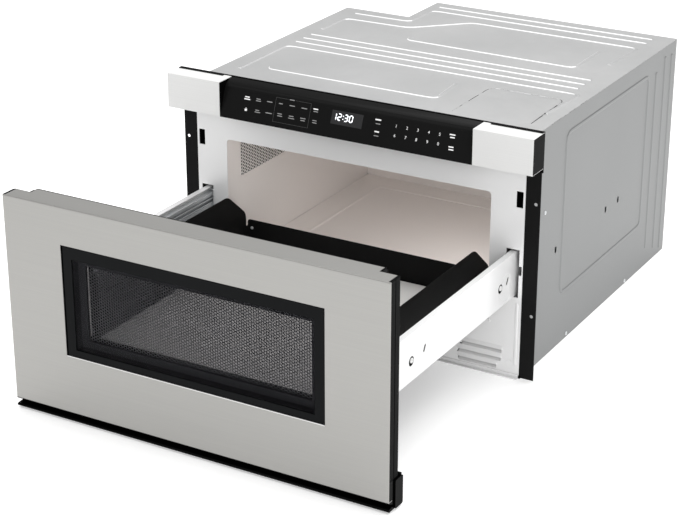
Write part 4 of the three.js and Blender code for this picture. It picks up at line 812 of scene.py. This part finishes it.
def makeClock():
    c = clock
    w, h, s = c["width"], c["height"], c["stroke"]
    places = {"a": (0, h / 2, w - s, s), "g": (0, 0, w - s, s), "d": (0, -h / 2, w - s, s),
              "f": (-w / 2, h / 4, s, h / 2 - s * 0.6), "b": (w / 2, h / 4, s, h / 2 - s * 0.6),
              "e": (-w / 2, -h / 4, s, h / 2 - s * 0.6), "c": (w / 2, -h / 4, s, h / 2 - s * 0.6)}
    bars = []
    for start, digit in zip(c["starts"], c["text"]):
        for name in segmentsOf[digit]:
            dx, dy, length, height = places[name]
            bars.append(addBar(start + dx + dy * c["lean"], c["middle"] + dy, length, height))
    for dy in (-c["dotReach"], c["dotReach"]):
        bars.append(addBar(c["colon"] + dy * c["lean"], c["middle"] + dy, c["dot"], c["dot"]))
    dress(joinPieces("clock_digits", bars), "case", "white_plastic", material=clockGlow)


makeClock()
print("control panel marked")


# pan-head screw with a cross recess, about +Z, modelled once at the origin
screw = {"radius": 3.6, "height": 1.5, "dome": 1.0, "slotLength": 4.4, "slotWidth": 0.9,
         "slotDepth": 1.1}


def makeScrew():
    s = screw
    head = addRod("screw_master", s["radius"], (0, 0, 0), (0, 0, s["height"]), 20)
    selectFaces(head, lambda middle, normal: normal.z > 0.9)
    bpy.ops.mesh.bevel(offset=s["dome"] / 1000, segments=3)
    leaveEdit()
    top = s["height"] + 1
    half = (s["slotLength"] / 2, s["slotWidth"] / 2)
    low = s["height"] - s["slotDepth"]
    cutWith(head, addBlock("slot", (-half[0], -half[1], low), (half[0], half[1], top)),
            addBlock("slot", (-half[1], -half[0], low), (half[1], half[0], top)))
    smoothByAngle(head, 35)
    return head


screwMaster = makeScrew()


# screws at places in mm, all facing along one direction
def placeScrews(name, places, facing, body, size=1.0, turn=25, slot="slide_steel", material=None):
    basis = Vector(facing).to_track_quat("Z", "Y").to_matrix().to_4x4()
    copies = []
    for i, place in enumerate(places):
        spin = Matrix.Rotation(math.radians(turn + 37 * i), 4, "Z")
        copies.append(copyTo(screwMaster, Matrix.Translation(Vector(place) / 1000) @ basis @ spin
                             @ Matrix.Scale(size, 4)))
    dress(joinPieces(name, copies), body, slot, material=material)


plateFace, rearFace, caseSide = -1.2, 571.3, 279.7
sideScrews = [(399, 5.4), (164, 6.6), (64, 239)]
rearScrews = [(-150, 12), (-20, 6), (120, 6), (268, 12), (268, 190), (268, 358), (120, 364),
              (-20, 364), (-150, 190)]
fanScrews = [(143, 158), (143, 272), (257, 158), (257, 272)]
placeScrews("side_screws_right", [(caseSide, y, z) for y, z in sideScrews], (1, 0, 0), "case", 0.85)
placeScrews("side_screws_left", [(-caseSide, y, z) for y, z in sideScrews], (-1, 0, 0), "case", 0.85)
placeScrews("rear_screws", [(x, rearFace, z) for x, z in rearScrews], (0, 1, 0), "case", 0.85)
placeScrews("fan_screws", [(x, rearFace, z) for x, z in fanScrews], (0, 1, 0), "case", 0.8)
placeScrews("plate_screws", [(x, plateFace, 82.7) for x in (-226.0, 226.0)], (0, -1, 0), "case", 0.8,
            20, "white_enamel")
placeScrews("tray_screws", [(x, 30.3, 130) for x in (-201.5, 201.5)], (0, -1, 0), "drawer", 0.7)


# drawer arms: enamelled sheet with countersunk screws on black washers, and leaning oval slots; the black
# washers are painted shade for the dark ring round each screw, and the black plates in the slots are painted
# shade too
arm = {"outside": 265.0, "sheet": 1.0, "holes": [(-314, 159), (-47, 159)], "washer": 7.0,
       "washerShift": (-0.8, -0.8), "washerPlay": 0.2, "cup": 1.5, "cupDepth": 0.2, "screwSize": 1.08,
       "slots": [(-278, 162.1), (-25, 162.1)], "slotLength": 11.5, "slotWidth": 4.6, "lean": 28,
       "rounding": 0.35}


def makeArms():
    a = arm
    inner, outer = a["outside"] - a["sheet"], a["outside"]
    right = mergedCopy("drawer_arm_right", "drawer_arm_sheet_right", False)
    shadeMarks, cutters = [], []
    for y, z in a["holes"]:
        y, z = y + a["washerShift"][0], z + a["washerShift"][1]
        cutters.append(addRod("bore", a["washer"], (inner - 0.4, y, z), (outer + 1, y, z), 28))
        washer = addRod("washer", a["washer"] - a["washerPlay"], (inner + 0.05, y, z),
                        (inner + 0.5, y, z), 28)
        selectFaces(washer, lambda middle, normal: normal.x > 0.9)
        bpy.ops.mesh.inset(thickness=a["cup"] / 1000)
        shift(-a["cupDepth"], 0, 0)
        shadeMarks.append(washer)
    half = (a["slotWidth"] / 2, a["slotLength"] / 2)
    lean = Matrix.Rotation(math.radians(-a["lean"]), 4, "X")
    for y, z in a["slots"]:
        slot = addBlock("slot", (-1.4, -half[0], -half[1]), (1, half[0], half[1]))
        bevelEdges(slot, lambda middle, run: abs(run.x) > 0.9, half[0] * 0.95, 5)
        place = Matrix.Translation(Vector((outer, y, z)) / 1000) @ lean
        # a thin black plate near the slot's back: painted shade, so that the slot reads dark
        shadeMarks.append(copyTo(slot, place @ Matrix.Translation((-0.0008, 0, 0))
                            @ Matrix.Diagonal((0.1, 0.96, 0.98, 1))))
        slot.data.transform(place)
        cutters.append(slot)
    cutWith(right, joinPieces("cutters", cutters))
    left = mirroredCopy(right, "drawer_arm_sheet_left")
    washers = joinPieces("arm_washers_right", shadeMarks)
    for name, turn, sheet, shadeMarking in (("right", 1, right, washers),
                                       ("left", -1, left, mirroredCopy(washers, "arm_washers_left"))):
        roundEdges(sheet, a["rounding"])
        dress(sheet, "drawer", "white_enamel", "drawer_arm_" + name)
        dress(shadeMarking, "drawer", "black_plastic")
        placeScrews("arm_screws_" + name, [(turn * (inner + 0.25), y, z) for y, z in a["holes"]],
                    (turn, 0, 0), "drawer", a["screwSize"], 40, "stainless_steel", capSteel)


makeArms()
bpy.data.objects.remove(screwMaster)
print("screws placed")


# middle slide members: rolled web with two long pressed openings over the ball tracks
slideMiddle = {"face": 254.0, "web": 1.2, "openings": [(181.0, 185.2), (174.2, 178.9)], "end": 186.0,
               "rounding": 0.3}


def makeMiddleSlides():
    m = slideMiddle
    right = mergedCopy("slide_middle_right", "slide_middle_rail_right")
    for low, high in m["openings"]:
        slot = addBlock("opening", (m["face"] - 1, -m["end"], low),
                        (m["face"] + m["web"] + 0.4, m["end"], high))
        bevelEdges(slot, lambda middle, run: abs(run.x) > 0.9, (high - low) * 0.48, 4)
        cutWith(right, slot)
    left = mirroredCopy(right, "slide_middle_rail_left")
    for name, rail in (("right", right), ("left", left)):
        roundEdges(rail, m["rounding"], clamp=True)
        dress(rail, "slide_middle_" + name, "slide_steel", "slide_middle_" + name)


makeMiddleSlides()


# balls of the slides, in the cages of the middle members
balls = {"radius": 1.75, "pitch": 12.5, "count": 14, "x": 258.4, "centre": 172,
         "rows": [(12, 19.4), (-180, 14.4)]}


def makeBalls():
    b = balls
    clearSelection()
    bpy.ops.mesh.primitive_ico_sphere_add(subdivisions=2, radius=b["radius"] / 1000)
    master = bpy.context.active_object
    bpy.ops.object.shade_smooth()
    copies = []
    for i in range(b["count"]):
        for start, reach in b["rows"]:
            for turn in (-1, 1):
                place = Vector((b["x"], start + i * b["pitch"], b["centre"] + turn * reach)) / 1000
                copies.append(copyTo(master, Matrix.Translation(place)))
    bpy.data.objects.remove(master)
    right = joinPieces("slide_balls_right", copies)
    left = mirroredCopy(right, "slide_balls_left")
    dress(right, "slide_middle_right", "slide_steel")
    dress(left, "slide_middle_left", "slide_steel")


makeBalls()


# front plate: louvres pressed in the sheet, each a sloping hood over a slot whose lower lip is
# pressed inward, and a foot that is folded forward along the bottom
louvre = {"rows": [(181.5, 251.0, 40.4), (175.6, 250.0, 27.1), (175.6, 243.0, 14.6)],
          "rise": 1.5, "hood": 5.8, "dish": 6.2, "dishTop": 1.7, "dishDepth": 5.5, "blank": 16.0,
          "cover": 9.0, "inset": 2.5, "taper": 0.93, "play": 0.05, "rounding": 0.3}
plateFoot = {"half": 276.5, "front": -8.0, "fold": -2.7, "thickness": 1.4, "height": 6.4}


def makeFrontPlate():
    v = louvre
    piece = mergedCopy("front_plate", "front_plate_sheet", False)
    parts, old, slots = [], [], []
    lips = [row[2] for row in v["rows"]]
    topOf = {lip: min([above - v["dish"] for above in lips if above > lip] + [99]) for lip in lips}
    for turn in (-1, 1):
        for start, end, lip in v["rows"]:
            x0, x1 = sorted((turn * start, turn * end))
            left, right = x0 - v["cover"], x1 + v["cover"]
            old.append(addBlock("old", (left, plateFace - 3, lip - 0.5), (right, plateFace, lip + 12)))
            inner = (x0 + v["inset"], x1 - v["inset"])
            slots.append(addBlock("slot", (inner[0], plateFace - 1, lip - v["dish"]),
                                  (inner[1], 1, lip + 0.4)))
            hood = addBlock("hood", (x0, plateFace - v["rise"], lip), (x1, plateFace + 0.2, lip + v["hood"]))
            # the hood's front slopes back to the sheet at its top, and is narrower at its lip
            selectEdges(hood, lambda middle, run: abs(run.x) > 0.9 and middle.y < plateFace - 1 and
                        middle.z > lip + 5)
            shift(0, v["rise"] - v["play"], 0)
            selectEdges(hood, lambda middle, run: abs(run.x) > 0.9 and middle.y < plateFace - 1 and
                        middle.z < lip + 5)
            bpy.ops.transform.resize(value=(v["taper"], 1, 1))
            leaveEdit()
            dish = addBlock("dish", (inner[0] + v["play"], plateFace + 0.02, lip - v["dish"] + v["play"]),
                            (inner[1] - v["play"], -0.1, lip - v["dishTop"]))
            selectFaces(dish, lambda middle, normal: normal.z > 0.9)
            shift(0, v["dishDepth"], 0)
            blank = addBlock("blank", (left, plateFace + 0.03, lip + v["hood"] - 0.1),
                             (right, -0.1, min(lip + v["blank"], topOf[lip])))
            parts += [hood, dish, blank]
    cutWith(piece, joinPieces("old", old), joinPieces("slots", slots))
    f = plateFoot
    parts += [addBlock("foot", (-f["half"], f["front"], 0), (f["half"], f["fold"] + 0.1, f["thickness"])),
              addBlock("upstand", (-f["half"], f["fold"], 0.05), (f["half"], plateFace, f["height"]))]
    roundEdges(piece, v["rounding"], clamp=True)
    dress(piece, "case", "white_enamel", "front_plate")
    pressed = joinPieces("front_plate_pressings", parts)
    roundEdges(pressed, v["rounding"], angle=20, clamp=True)
    dress(pressed, "case", "white_enamel")


makeFrontPlate()


# pressed line and dimple of the white front plate
plateBead = {"inner": 267.6, "outer": 273.0, "bottom": 19, "top": 119, "rise": 0.9,
             "crest": (0.55, 1, 0.975), "rounding": 0.25}
plateDimple = {"place": (262.0, 20.3), "radius": 6.4, "rise": 0.6, "cup": 1.4, "cupDepth": 0.3}


def makePlateBeads():
    p, d = plateBead, plateDimple
    ridge = addBlock("plate_bead_right", (p["inner"], plateFace - p["rise"], p["bottom"]),
                     (p["outer"], plateFace, p["top"]))
    bevelEdges(ridge, lambda middle, run: abs(run.y) > 0.9, (p["outer"] - p["inner"]) * 0.45, 4)
    selectFaces(ridge, lambda middle, normal: normal.y < -0.9)
    bpy.ops.transform.resize(value=p["crest"])
    leaveEdit()
    roundEdges(ridge, p["rounding"], angle=25)
    left = mirroredCopy(ridge, "plate_bead_left")
    for piece in (ridge, left):
        dress(piece, "case", "white_enamel")
    x, z = d["place"]
    dimple = addRod("plate_dimples", d["radius"], (x, plateFace - d["rise"], z), (x, plateFace, z))
    selectFaces(dimple, lambda middle, normal: normal.y < -0.9)
    bpy.ops.mesh.inset(thickness=d["cup"] / 1000)
    shift(0, d["cupDepth"], 0)
    roundEdges(dimple, p["rounding"], angle=25)
    both = joinPieces("plate_dimples", [dimple, mirroredCopy(dimple, "dimple_left")])
    dress(both, "case", "white_enamel")


makePlateBeads()


# small black clips at the foot of each mounting flange, and a thin black strip behind the door's top edge
clip = {"inner": 276.9, "outer": 280.4, "front": -3.0, "rear": -1.25, "bottom": 1.6, "top": 4.4,
        "rounding": 0.4}
topStrip = {"bottom": 318.5, "top": 322.5, "rounding": 0.1,
        "runs": [(-271, 271, -396.7, -395.2), (-298, -271, -411.7, -410.2), (271, 298, -411.7, -410.2),
                 (-271, -269.6, -411.7, -396.7), (269.6, 271, -411.7, -396.7)]}


def makeClipsAndSeal():
    c = clip
    foot = addBlock("flange_clip_right", (c["inner"], c["front"], c["bottom"]),
                    (c["outer"], c["rear"], c["top"]))
    roundEdges(foot, c["rounding"])
    both = joinPieces("flange_clips", [foot, mirroredCopy(foot, "flange_clip_left")])
    dress(both, "case", "black_plastic")
    strips = [addBlock("strip", (left, front, topStrip["bottom"]), (right, back, topStrip["top"]))
              for left, right, front, back in topStrip["runs"]]
    strip = joinPieces("door_top_black_strip", strips)
    roundEdges(strip, topStrip["rounding"], 1)
    dress(strip, "drawer", "black_plastic")


makeClipsAndSeal()
print("small details made")


# studio: pale floor, soft boxes, and the camera at the photograph's place
studio = {"floor": 30.0, "floorColour": "#fbfbfb", "floorGlow": 0.36, "world": "#ffffff",
          "worldStrength": 0.6}
softBoxes = [
    # name, place in metres, aimed at, size, watts
    ("top_box", (0.2, 0.9, 3.6), (0.1, 0.3, 0), 4.0, 116),
    ("front_box", (2.5, -3.5, 1.8), (0, 0, 0.2), 2.4, 50),
    ("right_box", (2.0, -1.1, 1.8), (0.28, 0.1, 0.2), 1.0, 2.2),
    ("edge_box", (-1.7, -1.95, 3.3), (0, -0.4, 0.2), 1.4, 7),
    ("cavity_lamp", (0.1, 0.16, 0.262), (0.02, 0.2, 0.08), 0.24, 0.25),
]


def makeStudio():
    clearSelection()
    bpy.ops.mesh.primitive_plane_add(size=studio["floor"])
    floor = bpy.context.active_object
    floor.name = "studio_floor"
    material, tree = newMaterial("pale_floor", {
        "Roughness": 0.6, "Emission Color": studio["floorColour"],
        "Emission Strength": studio["floorGlow"]})
    setTones(tree, addNoise(tree, 2.0), "#f2f2f2", studio["floorColour"])
    floor.data.materials.append(material)
    world = bpy.data.worlds.new("studio_world")
    world.use_nodes = True
    background = world.node_tree.nodes["Background"]
    background.inputs[0].default_value = linearColour(studio["world"])
    background.inputs[1].default_value = studio["worldStrength"]
    bpy.context.scene.world = world
    for name, place, target, size, watts in softBoxes:
        light = bpy.data.objects.new(name, bpy.data.lights.new(name, "AREA"))
        light.data.shape = "SQUARE"
        light.data.size = size
        light.data.energy = watts
        bpy.context.scene.collection.objects.link(light)
        light.visible_camera = False
        light.location = place
        light.rotation_euler = (Vector(target) - Vector(place)).to_track_quat("-Z", "Y").to_euler()


makeStudio()
bpy.context.scene.view_settings.view_transform = "Standard"

# focal length and picture centre in pixels of the 679 by 516 frame
photoCamera = {"place": (1.2920, -2.2710, 1.2385), "right": (0.87182, 0.48981, 0.00511),
               "down": (0.19297, -0.33383, -0.92267), "forward": (-0.45022, 0.80539, -0.38556),
               "focal": 1888.416, "centre": (367.444, 249.314), "width": 679, "height": 516,
               "sensor": 36.0}


def makeCamera():
    c = photoCamera
    data = bpy.data.cameras.new("photo_camera")
    data.sensor_width = c["sensor"]
    data.lens = c["focal"] * c["sensor"] / c["width"]
    data.shift_x = (c["width"] / 2 - c["centre"][0]) / c["width"]
    data.shift_y = (c["centre"][1] - c["height"] / 2) / c["width"]
    camera = bpy.data.objects.new("photo_camera", data)
    bpy.context.scene.collection.objects.link(camera)
    right, up, back = Vector(c["right"]), -Vector(c["down"]), -Vector(c["forward"])
    turn = Matrix((right, up, back)).transposed().to_4x4()
    camera.matrix_world = Matrix.Translation(c["place"]) @ turn
    bpy.context.scene.camera = camera


makeCamera()
print("scene finished")
